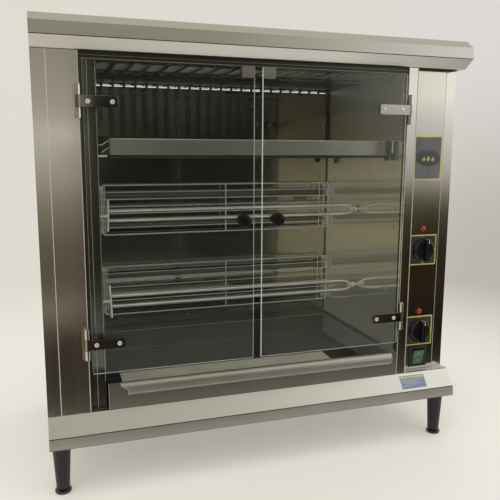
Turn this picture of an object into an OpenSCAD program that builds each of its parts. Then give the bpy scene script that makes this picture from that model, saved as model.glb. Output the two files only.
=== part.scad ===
// Counter-top rotisserie oven with two motor-driven spits behind two glass doors.
// X runs to the right seen from the front, the doors face -Y, +Z is up.
// The origin is the middle of the footprint, at the level of the feet's soles.
// The layout below is drawn with Y = 0 at the front face of the door posts
// and is moved back by y_mid at the end.

/* [Body] */
// Overall width of the cabinet
body_w = 850; // [848:1:856]
// Height of the roof above the table
body_h = 853; // [850:1:858]
// Depth from the door posts to the rear panel
body_d = 430; // [429:1:436]
// Height of the legs with their feet screwed in
leg_h = 99; // [98:1:100]
// Height of the plinth's deck above the table
deck_z = 152; // [151.5:0.25:152.25]
// Thickness of the cabinet sheets
st = 1.2; // [1.0:0.1:1.2]

/* [Roasting chamber] */
// Inner face of the left chamber wall
wall_l = -319; // [-320:0.5:-318.5]
// Inner face of the right chamber wall
wall_r = 298; // [297.5:0.25:298]
// Face of the chamber's back wall, behind the post face
wall_b = 380; // [379.9:0.1:382]
// Underside of the chamber's ceiling
ceil_z = 785; // [784.6:0.2:786]
// Pitch of the slots in the ceiling
slot_pitch = 33; // [30:1:34]
// Pitch of the row of slots at the top of the back wall
vent_pitch = 26; // [25:0.5:27]

/* [Spits] */
// Height of the upper spit's axis
spit_z_hi = 494.5; // [490:0.5:500]
// Height of the lower spit's axis
spit_z_lo = 309.5; // [305:0.5:315]
// Distance of the spit axes behind the post face
spit_y = 205; // [195:1:215]
// Half the spacing of the two rods of a spit
rod_half = 11; // [9:0.5:14]
// Radius of a spit rod
rod_r = 4; // [3:0.25:4.5]
// Roll of the upper spit at rest
roll_hi = 14; // [-40:1:40]
// Roll of the lower spit at rest
roll_lo = -22; // [-40:1:40]

/* [Doors] */
// Lower edge of the glass
glass_z0 = 227; // [225:1:232]
// Upper edge of the glass
glass_z1 = 784; // [780:0.5:784]
// Thickness of the glass
glass_t = 5; // [4:0.5:5]
// Height of the lower hinges
hinge_z_lo = 283; // [280:1:300]
// Height of the upper hinges
hinge_z_hi = 713; // [690:1:715]
// Height of the door knobs
pull_z = 503; // [480:1:520]

/* [Drip tray] */
// Top of the tray's rim
tray_z1 = 204; // [200:1:206]
// Face of the tray's floor
tray_z0 = 158; // [157.8:0.1:162]

/* [Controls] */
// Centre of the control column
ctl_x = 362; // [360:1:363]
// Height of the upper regulator knob
knob_z_hi = 420; // [415:1:425]
// Height of the lower regulator knob
knob_z_lo = 239; // [236:1:242]
// Radius of a regulator knob
knob_r = 26; // [22:0.5:27]

/* [Hidden] */
$fn = 48;

y_mid = 200;              // middle of the overall depth, behind the post face
hw = body_w / 2;
post_z0 = deck_z + 0.3;   // posts and panels stand on the deck
post_z1 = 798;            // and reach the underside of the roof's nose
open_l = -348.8;          // clear opening between the posts
open_r = 295.3;
ctl_x0 = 317;             // control column, recessed behind the posts
ctl_x1 = 400;
ctl_y = 22;
glass_y1 = -3;            // the glass hangs just in front of the posts
glass_y0 = glass_y1 - glass_t;
pin_y = -6.5;
pin_lx = -351;
pin_rx = 297;
leg_x = 404;
leg_yf = 9;
leg_yr = 405;
foot_h = 7;
lampz_hi = 466;
lampz_lo = 283;
sw_z = 178;               // rocker switch
sw_x0 = ctl_x - 22;
sw_x1 = ctl_x + 22;

steel = [0.78, 0.77, 0.74];
steel_dark = [0.42, 0.41, 0.38];
black = [0.06, 0.06, 0.06];

// ---------- helpers ----------
module moved() { translate([0, -y_mid, 0]) children(); }
module bx(x0, x1, y0, y1, z0, z1) { translate([x0, y0, z0]) cube([x1 - x0, y1 - y0, z1 - z0]); }
module cx(y, z, x0, x1, r) { translate([x0, y, z]) rotate([0, 90, 0]) cylinder(h = x1 - x0, r = r); }
module cy(x, z, y0, y1, r) { translate([x, y0, z]) rotate([-90, 0, 0]) cylinder(h = y1 - y0, r = r); }
module cz(x, y, z0, z1, r) { translate([x, y, z0]) cylinder(h = z1 - z0, r = r); }
// outline given as [y, z] points, drawn out along X
module along_x(pts, x0, x1) { translate([x0, 0, 0]) rotate([90, 0, 90]) linear_extrude(x1 - x0) polygon(pts); }
// outline given as [x, y] points, drawn up along Z
module along_z(pts, z0, z1) { translate([0, 0, z0]) linear_extrude(z1 - z0) polygon(pts); }
// pan or truss head with its shank, along +Y
module screw_y(x, z, y_head, y_tip, rh, hh, rs) {
    cy(x, z, y_head, y_head + hh, rh);
    cy(x, z, y_head + hh, y_tip, rs);
}

// ---------- cabinet ----------
module top_cap() color(steel) moved() {
    along_x([[body_d, body_h], [-6.6, body_h], [-27, body_h - 15], [-30, body_h - 36.4], [-5, post_z1],
        [12, post_z1], [12, post_z1 + st], [-4.6, post_z1 + st], [-28.7, body_h - 35.9],
        [-25.8, body_h - 15.6], [-6.2, body_h - st], [body_d, body_h - st]], -hw + st, hw - st);
    for (x = [-hw, hw - st])
        along_x([[body_d, body_h], [-6.6, body_h], [-27, body_h - 15], [-30, body_h - 36.4],
            [-5, post_z1], [body_d, post_z1]], x, x + st);
}

module front_header() color(steel_dark) moved()
    along_x([[3, post_z1 - 0.2], [3, ceil_z], [25.8, ceil_z], [25.8, ceil_z + st],
        [3 + st, ceil_z + st], [3 + st, post_z1 - 0.2]], open_l + 0.2, open_r - 0.2);

module base_frame() color(steel) moved() {
    bx(-hw + st, hw - st, 20.3, body_d - st, leg_h, leg_h + st);
    for (x = [-hw, hw - st]) bx(x, x + st, 26.3, body_d, leg_h, deck_z);
    difference() {
        bx(-hw + st, hw - st, body_d - st, body_d, leg_h, deck_z);
        cy(340, 126, body_d - 5, body_d + 5, 8);
    }
}

module base_apron() color(steel) moved() {
    along_x([[26, deck_z], [0, deck_z], [-26, deck_z - 32], [-28, leg_h], [20, leg_h],
        [20, leg_h + st], [-26.7, leg_h + st], [-24.85, deck_z - 32.5], [0.55, deck_z - st],
        [26, deck_z - st]], -hw + st, hw - st);
    for (x = [-hw, hw - st])
        along_x([[26, deck_z], [0, deck_z], [-26, deck_z - 32], [-28, leg_h], [26, leg_h]], x, x + st);
}

module base_deck() color(steel_dark) moved()
    bx(-hw + st + 0.1, hw - st - 0.1, 26.2, body_d - st - 0.1, deck_z - st, deck_z);

module rear_panel() color(steel) moved()
    difference() {
        bx(-hw + st + 0.1, hw - st - 0.1, body_d - st, body_d, deck_z + 0.3, body_h - st - 0.1);
        for (i = [0 : 22])
            bx(-300 + i * vent_pitch, -280 + i * vent_pitch, body_d - 5, body_d + 5, 779, 787);
        for (i = [0 : 5], s = [-1, 1])
            bx(s * 370 - 30, s * 370 + 30, body_d - 5, body_d + 5, 230 + i * 14, 236 + i * 14);
    }

module left_side_panel() color(steel) moved()
    along_z([[-hw, 0], [-401.5, 0], [-401.5, st], [-hw + st, st], [-hw + st, body_d], [-hw, body_d]],
        post_z0, post_z1 - 0.2);

module left_post_cover() color(steel) moved()
    along_z([[-401.2, 0], [open_l, 0], [open_l, 24], [open_l - st, 24], [open_l - st, st],
        [-401.2 + st, st], [-401.2 + st, 14], [-401.2, 14]], post_z0, post_z1 - 0.2);

module left_wall() color(steel_dark) moved()
    difference() {
        along_z([[open_l + 0.2, 12], [wall_l, 12], [wall_l, wall_b - 0.2], [wall_l - st, wall_b - 0.2],
            [wall_l - st, 12 + st], [open_l + 0.2, 12 + st]], post_z0, ceil_z - 0.2);
        for (z = [spit_z_hi, spit_z_lo]) cx(spit_y, z, wall_l - 5, wall_l + 5, 10.2);
    }

module right_side_panel() color(steel) moved()
    along_z([[hw, 24.5], [400.3, 24.5], [400.3, 24.5 + st], [hw - st, 24.5 + st], [hw - st, body_d],
        [hw, body_d]], post_z0, post_z1 - 0.2);

module right_inner_post() color(steel) moved()
    along_z([[open_r, 0], [ctl_x0 - 0.1, 0], [ctl_x0 - 0.1, ctl_y + 6], [ctl_x0 - 0.1 - st, ctl_y + 6],
        [ctl_x0 - 0.1 - st, st], [open_r + st, st], [open_r + st, 12], [open_r, 12]],
        post_z0, post_z1 - 0.2);

module control_panel() color(steel_dark) moved()
    difference() {
        along_z([[ctl_x0 + 0.1, ctl_y], [ctl_x1, ctl_y], [ctl_x1, ctl_y + 10], [ctl_x1 - st, ctl_y + 10],
            [ctl_x1 - st, ctl_y + st], [ctl_x0 + 0.1, ctl_y + st]], post_z0, post_z1 - 0.2);
        for (z = [knob_z_hi, knob_z_lo]) cy(ctl_x, z, ctl_y - 5, ctl_y + 5, 4.5);
        for (z = [lampz_hi, lampz_lo]) cy(ctl_x - 2, z, ctl_y - 5, ctl_y + 5, 4.2);
        bx(sw_x0 + 4, sw_x1 - 4, ctl_y - 5, ctl_y + 5, sw_z - 21, sw_z + 21);
    }

module right_wall() color(steel_dark) moved()
    difference() {
        bx(wall_r, wall_r + st, 2, wall_b - 0.2, post_z0, ceil_z - 0.2);
        for (z = [spit_z_hi, spit_z_lo]) cx(spit_y, z, wall_r - 5, wall_r + 5, 8);
    }

module back_wall() color(steel_dark) moved()
    difference() {
        bx(wall_l, wall_r, wall_b, wall_b + st, post_z0, ceil_z - 0.2);
        for (i = [0 : 22])
            bx(-300 + i * vent_pitch, -280 + i * vent_pitch, wall_b - 5, wall_b + 5, 776, 781);
    }

module ceiling_panel() color(steel_dark) moved()
    difference() {
        bx(wall_l, wall_r, 26, wall_b + st, ceil_z, ceil_z + st);
        for (i = [0 : 17])
            bx(-311 + i * slot_pitch, -287 + i * slot_pitch, 56, 184, ceil_z - 5, ceil_z + 5);
    }

module upper_gussets() color(steel_dark) moved() {
    bx(wall_r - 1.7, wall_r - 0.2, 30, 362, 722, ceil_z - 0.5);
    bx(wall_l + 0.2, wall_l + 1.7, 30, 362, 722, ceil_z - 0.5);
}

module panel_screws() color(steel) moved() {
    for (p = [[319, 762], [50, 772], [340, 731]]) {
        cx(p[0], p[1], wall_r - 3.9, wall_r - 1.7, 3.5);
        cx(p[0], p[1], wall_l + 1.7, wall_l + 3.9, 3.5);
    }
    for (x = [-400, -133, 133, 400], z = [170, 835]) cy(x, z, body_d, body_d + 2, 4);
    for (x = [-400, 400]) cy(x, 480, body_d, body_d + 2, 4);
}

// ---------- chamber fittings ----------
module upper_tray() color(steel) moved()
    difference() {
        bx(-295, 294, 60, 330, 622.4, 652);
        bx(-295 + st, 294 - st, 60 + st, 330 - st, 622.4 + st, 660);
    }

module upper_tray_supports() color(steel) moved() {
    for (y = [80, 310]) cx(y, 619.2, wall_l + 2.4, wall_r - 2.4, 3);
    for (y = [46, 320]) {
        along_z([[wall_l + 0.2, y], [wall_l + 22, y], [wall_l + 22, y + 2], [wall_l + 2.2, y + 2],
            [wall_l + 2.2, y + 12], [wall_l + 0.2, y + 12]], y < 100 ? 612 : 600, y < 100 ? 656 : 615);
        along_z([[wall_r - 0.2, y + 12], [wall_r - 2.2, y + 12], [wall_r - 2.2, y + 2],
            [wall_r - 8, y + 2], [wall_r - 8, y], [wall_r - 0.2, y]], y < 100 ? 612 : 600, y < 100 ? 656 : 615);
    }
    // rod shoes on the walls
    for (y = [80, 310]) {
        bx(wall_l + 0.2, wall_l + 2.4, y - 8, y + 8, 611, 621.5);
        bx(wall_r - 2.4, wall_r - 0.2, y - 8, y + 8, 611, 621.5);
    }
}

module reflectors() color(steel) moved()
    for (z = [spit_z_hi, spit_z_lo - 8])
        along_x([[wall_b - 0.2, z - 54], [wall_b - 12, z - 56], [wall_b - 12, z - 55],
            [wall_b - 1.2, z - 53], [wall_b - 1.2, z + 53], [wall_b - 12, z + 55],
            [wall_b - 12, z + 56], [wall_b - 0.2, z + 54]], -284, 282);

module heater_tubes() color([0.75, 0.72, 0.66]) moved()
    for (z = [spit_z_hi, spit_z_lo - 8], s = [-40, 31])
        cx(wall_b - 13, z + s, -299, 285, 8.5);

module heater_holders() color([0.85, 0.83, 0.78]) moved()
    for (z = [spit_z_hi, spit_z_lo - 8], s = [-40, 31])
        for (x = [-311, 286.2])
            difference() {
                bx(x, x + 10.8, wall_b - 23, wall_b - 0.2, z + s - 11, z + s + 11);
                if (x < 0) cx(wall_b - 13, z + s, x + 6, x + 12, 8.6);
            }

// wire guard: eight level wires, three uprights in front, four stand-offs to the back wall
module guard(zc) {
    for (i = [-3.5 : 3.5]) cx(355, zc - 3 + i * 16.6, -290, 294, 1.5);
    for (x = [-288, 12, 292]) cz(x, 351.9, zc - 62, zc + 56, 1.5);
    for (x = [-288, 292], s = [-55, 46]) cy(x, zc + s, 353.5, wall_b - 0.2, 1.8);
}
module guard_upper() color(steel) moved() guard(spit_z_hi);
module guard_lower() color(steel) moved() guard(spit_z_lo - 8);

// ---------- spits and drive ----------
// two rods on one axis, welded to a cross bar at the left, drawn together to a drive end at the right
module spit(zc, roll)
    translate([0, spit_y, zc]) rotate([roll, 0, 0]) {
        for (s = [-1, 1]) {
            cx(0, s * rod_half, -288, 258, rod_r);
            // slanting end, from inside the rod down to the drive end
            translate([253, 0, s * rod_half]) rotate([0, 90 + s * atan(rod_half / 30), 0])
                cylinder(h = norm([30, rod_half]), r = rod_r - 0.3 - 0.1 * s);
        }
        cz(-288, 0, -35, 35, 3);
        cx(0, 0, -331, -289, 5);
        cx(0, 0, 272, 296.5, 8);
        cx(0, 0, 296, 330, 6);
    }
module spit_upper() color(steel) moved() spit(spit_z_hi, roll_hi);
module spit_lower() color(steel) moved() spit(spit_z_lo, roll_lo);

module spit_bearings() color(steel) moved()
    for (z = [spit_z_hi, spit_z_lo])
        difference() {
            union() {
                cx(spit_y, z, wall_l + 0.1, wall_l + 3, 14);
                cx(spit_y, z, wall_l - 18, wall_l + 0.1, 10);
            }
            cx(spit_y, z, wall_l - 14, wall_l + 5, 5.06);
        }

module gearmotors() color([0.35, 0.35, 0.37]) moved()
    for (z = [spit_z_hi, spit_z_lo])
        difference() {
            union() {
                bx(wall_r + st + 0.2, 338, spit_y - 32, spit_y + 32, z - 32, z + 32);
                cx(spit_y, z, 338, 392, 27);
            }
            cx(spit_y, z, wall_r, 332, 6.06);
        }

// ---------- controls ----------
module regulators() color([0.2, 0.2, 0.21]) moved()
    for (z = [knob_z_hi, knob_z_lo])
        difference() {
            bx(ctl_x - 20, ctl_x + 20, ctl_y + st + 0.1, ctl_y + 38, z - 20, z + 20);
            cy(ctl_x, z, ctl_y, ctl_y + 26, 3.06);
        }

module indicator_lamps() color([0.85, 0.12, 0.06]) moved()
    for (z = [lampz_hi, lampz_lo]) {
        cy(ctl_x - 2, z, ctl_y - 0.1, ctl_y + 22, 4);
        translate([ctl_x - 2, ctl_y - 0.1, z]) rotate([90, 0, 0]) cylinder(h = 3, r1 = 6.2, r2 = 5);
    }

module panel_plates() color([0.78, 0.8, 0.2]) moved() {
    bx(ctl_x - 32, ctl_x + 35, ctl_y - 1.2, ctl_y - 0.1, 571, 663);
    for (z = [knob_z_hi, knob_z_lo])
        difference() {
            bx(ctl_x - 33, ctl_x + 33, ctl_y - 1.2, ctl_y - 0.1, z - 33, z + 33);
            cy(ctl_x, z, ctl_y - 5, ctl_y + 5, 4.5);
        }
}

module rating_label() color([0.35, 0.4, 0.55]) moved()
    along_x([[-4.1, deck_z - 4.8], [-22.3, deck_z - 27.2], [-22.75, deck_z - 26.85], [-4.55, deck_z - 4.45]],
        301, 361);

module rocker_housing() color(black) moved()
    difference() {
        union() {
            bx(sw_x0, sw_x1, ctl_y - 2.5, ctl_y - 0.1, sw_z - 24.5, sw_z + 24.5);
            bx(sw_x0 + 4.5, sw_x1 - 4.5, ctl_y - 0.1, ctl_y + 26, sw_z - 20.5, sw_z + 20.5);
        }
        bx(ctl_x - 13.3, ctl_x + 13.3, ctl_y - 5, ctl_y + 12, sw_z - 18.4, sw_z + 18.4);
        cx(ctl_y + 3, sw_z, ctl_x - 16, ctl_x + 16, 1.55);
    }

module rocker() color([0.1, 0.62, 0.25]) moved() {
    along_x([[ctl_y + 4.5, sw_z - 15], [ctl_y - 1, sw_z - 17.6], [ctl_y - 2.6, sw_z - 10], [ctl_y - 3, sw_z],
        [ctl_y - 5.2, sw_z + 9], [ctl_y - 7, sw_z + 16.1], [ctl_y + 1, sw_z + 16.1], [ctl_y + 4.5, sw_z + 13]],
        ctl_x - 13, ctl_x + 13);
    cx(ctl_y + 3, sw_z, ctl_x - 15.5, ctl_x + 15.5, 1.5);
}

// pointer knob: round skirt, grip bar across it, D-less shaft into the regulator
module knob(zc) {
    translate([ctl_x, ctl_y - 1.7, zc]) rotate([90, 0, 0]) cylinder(h = 5, r1 = knob_r, r2 = knob_r - 1.5);
    translate([ctl_x, ctl_y - 6.7, zc]) rotate([90, 0, 0]) cylinder(h = 4, r1 = knob_r - 3.5, r2 = knob_r - 5);
    bx(ctl_x - 5, ctl_x + 5, ctl_y - 24, ctl_y - 6, zc - knob_r + 4, zc + knob_r - 1);
    cy(ctl_x, zc, ctl_y - 6, ctl_y + 24, 3);
}
module knob_upper() color(black) moved() knob(knob_z_hi);
module knob_lower() color(black) moved() knob(knob_z_lo);

// ---------- doors ----------
glass_lx = [-343, -35];
glass_rx = [-19, 288];
screw_lx = [-335, -294];
screw_rx = [236.3, 277.3];
pull_lx = -62;
pull_rx = 5;

module glass(x, screws, pull) color([0.75, 0.85, 0.8, 0.35]) moved()
    difference() {
        bx(x[0], x[1], glass_y0, glass_y1, glass_z0, glass_z1);
        for (s = screws, z = [hinge_z_lo, hinge_z_hi]) cy(s, z, glass_y0 - 1, glass_y1 + 1, 3);
        cy(pull, pull_z, glass_y0 - 1, glass_y1 + 1, 3);
    }
module glass_left() glass(glass_lx, screw_lx, pull_lx);
module glass_right() glass(glass_rx, screw_rx, pull_rx);

// hinge strap with its knuckle round the pin
module strap(px, tip, z, screws)
    difference() {
        union() {
            bx(min(px, tip), max(px, tip), glass_y0 - 2.4, glass_y0 - 0.1, z - 10, z + 10);
            cz(px, pin_y, z - 10, z + 10, 4.5);
        }
        cz(px, pin_y, z - 11, z + 11, 2.56);
        for (s = screws) cy(s, z, glass_y0 - 5, glass_y0 + 1, 3);
    }
module straps_left() color(black) moved()
    for (z = [hinge_z_lo, hinge_z_hi]) strap(pin_lx, -284, z, screw_lx);
module straps_right() color(black) moved()
    for (z = [hinge_z_lo, hinge_z_hi]) strap(pin_rx, 227, z, screw_rx);

module door_screws(screws, pull) {
    for (s = screws, z = [hinge_z_lo, hinge_z_hi]) {
        cy(s, z, glass_y0 - 4.2, glass_y0 - 2.4, 4);
        cy(s, z, glass_y0 - 2.4, glass_y1 + 0.1, 2.7);
        cy(s, z, glass_y1 + 0.1, glass_y1 + 2.4, 5);
    }
    cy(pull, pull_z, glass_y0 - 14, glass_y1 + 0.1, 2.4);
    cy(pull, pull_z, glass_y1 + 0.1, glass_y1 + 2.2, 6);
}
module door_screws_left() color(steel) moved() door_screws(screw_lx, pull_lx);
module door_screws_right() color(steel) moved() door_screws(screw_rx, pull_rx);

// fixed halves of the hinges: a leaf on the post with a knuckle above and below the strap's
module leaf(px, z, side)
    difference() {
        union() {
            for (k = [[-28.5, -10.4], [10.4, 28.5]]) {
                cz(px, pin_y, z + k[0], z + k[1], 4.5);
                bx(px - 2.2, px + 2.2, pin_y, -0.1, z + k[0], z + k[1]);
            }
            bx(min(px - side * 2.2, px + side * 8), max(px - side * 2.2, px + side * 8), -1.4, -0.1, z - 28.5, z + 28.5);
        }
        cz(px, pin_y, z - 30, z + 30, 2.54);
    }
module hinge_leaves() color(steel) moved()
    for (z = [hinge_z_lo, hinge_z_hi]) {
        leaf(pin_lx, z, -1);
        leaf(pin_rx, z, 1);
    }
module hinge_pins() color(steel) moved()
    for (z = [hinge_z_lo, hinge_z_hi], x = [pin_lx, pin_rx]) {
        cz(x, pin_y, z - 29, z + 28.6, 2.5);
        cz(x, pin_y, z + 28.6, z + 30.2, 4.2);
    }

// turned door knob with a blind hole for its screw
module pull_knob(x)
    translate([x, glass_y0 - 0.1, pull_z]) rotate([90, 0, 0])
        difference() {
            rotate_extrude() polygon([[0, 0], [8.5, 0], [8.5, 2], [6.8, 5], [6.4, 11], [8.5, 15], [11.6, 17.5],
                [12.5, 20.5], [12.5, 26], [11.3, 28.8], [8.5, 29.9], [0, 29.9]]);
            translate([0, 0, -1]) cylinder(h = 15.2, r = 2.45);
        }
module door_knob_left() color(black) moved() pull_knob(pull_lx);
module door_knob_right() color(black) moved() pull_knob(pull_rx);

// clip plates on the glass, front and back
module strike(x0, x1) {
    for (y = [glass_y0 - 1.3, glass_y1 + 0.1])
        translate([0, y + 1.2, 0]) rotate([90, 0, 0]) linear_extrude(1.2)
            polygon([[x0, 783.5], [x1, 783.5], [x1, 767], [x1 - 4, 763], [x0 + 4, 763], [x0, 767]]);
}
module strike_left() color(steel_dark) moved() strike(-60, -35.3);
module strike_right() color(steel_dark) moved() strike(-18.7, 6);

module door_catches() color(steel) moved()
    for (x = [-58, -16]) {
        bx(x, x + 20, -1.5, 2.9, 766, ceil_z - 0.1);
        bx(x + 2, x + 18, 2.9, 16, 774, ceil_z - 0.1);
    }

// ---------- drip tray ----------
module drip_tray() color(steel) moved() {
    difference() {
        bx(-290 - st, 274 + st, 0, 330 + st, tray_z0 - st, tray_z1);
        bx(-290, 274, st, 330, tray_z0, tray_z1 + 5);
    }
    // front plate, wider than the pan
    bx(-316, 294.8, -st, 0, 153, tray_z1);
    // drip flanges at the sides and the back
    bx(-318, -290 - st, 0, 376, tray_z1 - st, tray_z1);
    bx(274 + st, 294.8, 56, 376, tray_z1 - st, tray_z1);
    bx(-290 - st, 274 + st, 330 + st, 376, tray_z1 - st, tray_z1);
    // ledge along the front wall, stopping short of the right-hand corner
    bx(-290, 140, st, 50, tray_z1 - st, tray_z1);
}

module drip_tray_handle() color(steel) moved()
    along_x([[-st - 0.1, tray_z1 + 1.2], [-10, tray_z1 + 1.2], [-15, tray_z1 - 3], [-16.8, tray_z1 - 9],
        [-16.8, tray_z1 - 18], [-14, tray_z1 - 22], [-13.1, tray_z1 - 21.2], [-15.6, tray_z1 - 17.6],
        [-15.6, tray_z1 - 9.2], [-14, tray_z1 - 3.8], [-9.6, tray_z1], [-st - 0.1, tray_z1]], -295, 275);

module tray_runners() color(steel) moved()
    for (x = [-260, 235]) bx(x, x + 10, 30, 376, deck_z + 0.1, tray_z0 - st - 0.3);

// ---------- legs and connection ----------
module legs() color(black) moved()
    for (x = [-leg_x, leg_x], y = [leg_yf, leg_yr])
        difference() {
            translate([x, y, foot_h + 1]) cylinder(h = leg_h - foot_h - 1, r1 = 12, r2 = 17.5);
            cz(x, y, foot_h, foot_h + 58, 5);
        }

// levelling foot: disc and threaded stem
module foot(x, y) {
    translate([x, y, 0]) cylinder(h = 1.5, r1 = 14.2, r2 = 15.2);
    cz(x, y, 1.5, foot_h, 15.2);
    cz(x, y, foot_h, foot_h + 52, 4.95);
}
module foot_front_left() color(black) moved() foot(-leg_x, leg_yf);
module foot_front_right() color(black) moved() foot(leg_x, leg_yf);
module foot_rear_left() color(black) moved() foot(-leg_x, leg_yr);
module foot_rear_right() color(black) moved() foot(leg_x, leg_yr);

module cable_gland() color(black) moved()
    difference() {
        union() {
            cy(340, 126, body_d - st - 8, body_d, 7.8);
            translate([340, body_d + 0.1, 126]) rotate([-90, 0, 0]) cylinder(h = 4.5, r = 12, $fn = 6);
            cy(340, 126, body_d + 4.6, body_d + 8, 9.5);
            cy(340, 126, body_d - 1, body_d + 5, 7.8);
        }
        cy(340, 126, body_d - 20, body_d + 20, 5);
    }

module terminal_block() color([0.85, 0.84, 0.8]) moved()
    difference() {
        bx(330, 390, 396, 424, deck_z + 0.2, deck_z + 26);
        for (i = [0 : 4]) cz(336 + i * 12, 404, deck_z + 14, deck_z + 30, 3);
    }

top_cap();
front_header();
base_frame();
base_apron();
base_deck();
rear_panel();
left_side_panel();
left_post_cover();
left_wall();
right_side_panel();
right_inner_post();
control_panel();
right_wall();
back_wall();
ceiling_panel();
upper_gussets();
panel_screws();
upper_tray();
upper_tray_supports();
reflectors();
heater_tubes();
heater_holders();
guard_upper();
guard_lower();
spit_bearings();
gearmotors();
regulators();
indicator_lamps();
panel_plates();
rating_label();
rocker_housing();
rocker();
knob_upper();
knob_lower();
glass_left();
glass_right();
straps_left();
straps_right();
door_screws_left();
door_screws_right();
hinge_leaves();
hinge_pins();
door_knob_left();
door_knob_right();
strike_left();
strike_right();
door_catches();
drip_tray();
drip_tray_handle();
tray_runners();
legs();
foot_front_left();
foot_front_right();
foot_rear_left();
foot_rear_right();
cable_gland();
terminal_block();
spit_upper();
spit_lower();
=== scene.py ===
import math
import bpy
import bmesh
from mathutils import Vector, Matrix


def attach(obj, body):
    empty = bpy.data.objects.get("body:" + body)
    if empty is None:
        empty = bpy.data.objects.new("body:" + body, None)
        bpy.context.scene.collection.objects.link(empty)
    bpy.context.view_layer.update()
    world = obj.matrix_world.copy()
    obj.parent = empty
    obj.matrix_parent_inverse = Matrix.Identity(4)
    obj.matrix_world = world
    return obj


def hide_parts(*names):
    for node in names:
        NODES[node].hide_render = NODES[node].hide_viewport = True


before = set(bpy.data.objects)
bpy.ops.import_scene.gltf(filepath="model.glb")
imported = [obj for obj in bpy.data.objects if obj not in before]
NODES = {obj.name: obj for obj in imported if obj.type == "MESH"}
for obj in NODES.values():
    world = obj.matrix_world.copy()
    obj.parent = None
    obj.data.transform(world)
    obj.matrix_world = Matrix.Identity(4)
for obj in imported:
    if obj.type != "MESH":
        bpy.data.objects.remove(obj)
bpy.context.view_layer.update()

scene = bpy.context.scene
YM = 0.200          # the CAD frame's Y = 0 lies this far behind the post face


# ------------------------------------------------------------------ camera
loc = Vector((-0.4105, -1.111 - YM, 0.6333))
fwd = Vector((0.31174, 0.93637, -0.16131)).normalized()
right = Vector((0.94902, -0.31518, 0.00446)).normalized()
up = right.cross(fwd).normalized()
right = fwd.cross(up).normalized()
cam_data = bpy.data.cameras.new("camera")
cam = bpy.data.objects.new("camera", cam_data)
scene.collection.objects.link(cam)
rot = Matrix((right, up, -fwd)).transposed().to_4x4()
cam.matrix_world = Matrix.Translation(loc) @ rot
cam_data.sensor_width = 36.0
cam_data.lens = 44.25
cam_data.clip_start = 0.01
cam_data.clip_end = 60
scene.camera = cam


# ------------------------------------------------------------------ material helpers
def new_mat(name):
    m = bpy.data.materials.new(name)
    m.use_nodes = True
    nt = m.node_tree
    nt.nodes.clear()
    return m, nt


def N(nt, kind, **kw):
    n = nt.nodes.new(kind)
    for k, v in kw.items():
        if k in n.inputs.keys():
            n.inputs[k].default_value = v
        else:
            setattr(n, k, v)
    return n


def L(nt, a, b):
    nt.links.new(a, b)


def obj_coords(nt, scale=(1, 1, 1), offset=(0, 0, 0)):
    tc = N(nt, "ShaderNodeTexCoord")
    mp = N(nt, "ShaderNodeMapping")
    mp.inputs["Scale"].default_value = scale
    mp.inputs["Location"].default_value = offset
    L(nt, tc.outputs["Object"], mp.inputs["Vector"])
    return mp.outputs["Vector"]


def noise(nt, vec, scale=1.0, detail=3.0, rough=0.55, dist=0.0):
    n = N(nt, "ShaderNodeTexNoise")
    n.inputs["Scale"].default_value = scale
    n.inputs["Detail"].default_value = detail
    n.inputs["Roughness"].default_value = rough
    n.inputs["Distortion"].default_value = dist
    L(nt, vec, n.inputs["Vector"])
    return n.outputs["Fac"]


def remap(nt, val, lo, hi, a, b, clamp=True):
    n = N(nt, "ShaderNodeMapRange")
    n.clamp = clamp
    n.inputs["From Min"].default_value = lo
    n.inputs["From Max"].default_value = hi
    n.inputs["To Min"].default_value = a
    n.inputs["To Max"].default_value = b
    L(nt, val, n.inputs["Value"])
    return n.outputs["Result"]


def ramp(nt, val, stops):
    n = N(nt, "ShaderNodeValToRGB")
    cr = n.color_ramp
    while len(cr.elements) > 1:
        cr.elements.remove(cr.elements[-1])
    cr.elements[0].position = stops[0][0]
    cr.elements[0].color = (*stops[0][1], 1)
    for p, c in stops[1:]:
        e = cr.elements.new(p)
        e.color = (*c, 1)
    L(nt, val, n.inputs["Fac"])
    return n.outputs["Color"]


def mix_color(nt, fac, a, b, blend="MIX"):
    n = N(nt, "ShaderNodeMix")
    n.data_type = "RGBA"
    n.blend_type = blend
    for sock, v in ((n.inputs["Factor"], fac), (n.inputs[6], a), (n.inputs[7], b)):
        if isinstance(v, bpy.types.NodeSocket):
            L(nt, v, sock)
        elif isinstance(v, (int, float)):
            sock.default_value = v
        else:
            sock.default_value = (*v, 1)
    return n.outputs[2]


def math_node(nt, op, a, b=None):
    n = N(nt, "ShaderNodeMath")
    n.operation = op
    for i, v in enumerate((a, b)):
        if v is None:
            continue
        if isinstance(v, bpy.types.NodeSocket):
            L(nt, v, n.inputs[i])
        else:
            n.inputs[i].default_value = v
    return n.outputs[0]


def bump(nt, height, strength, distance=0.001, normal=None):
    n = N(nt, "ShaderNodeBump")
    n.inputs["Strength"].default_value = strength
    n.inputs["Distance"].default_value = distance
    L(nt, height, n.inputs["Height"])
    if normal is not None:
        L(nt, normal, n.inputs["Normal"])
    return n.outputs["Normal"]


def principled(nt, **kw):
    p = N(nt, "ShaderNodeBsdfPrincipled")
    for k, v in kw.items():
        k = k.replace("_", " ")
        if k not in p.inputs.keys():
            k = {"Transmission": "Transmission Weight", "Coat": "Coat Weight", "Sheen": "Sheen Weight",
                 "Emission": "Emission Color", "Specular": "Specular IOR Level"}.get(k, k)
        s = p.inputs[k]
        if isinstance(v, bpy.types.NodeSocket):
            L(nt, v, s)
        else:
            s.default_value = v
    out = N(nt, "ShaderNodeOutputMaterial")
    L(nt, p.outputs[0], out.inputs["Surface"])
    return p, out


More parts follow.
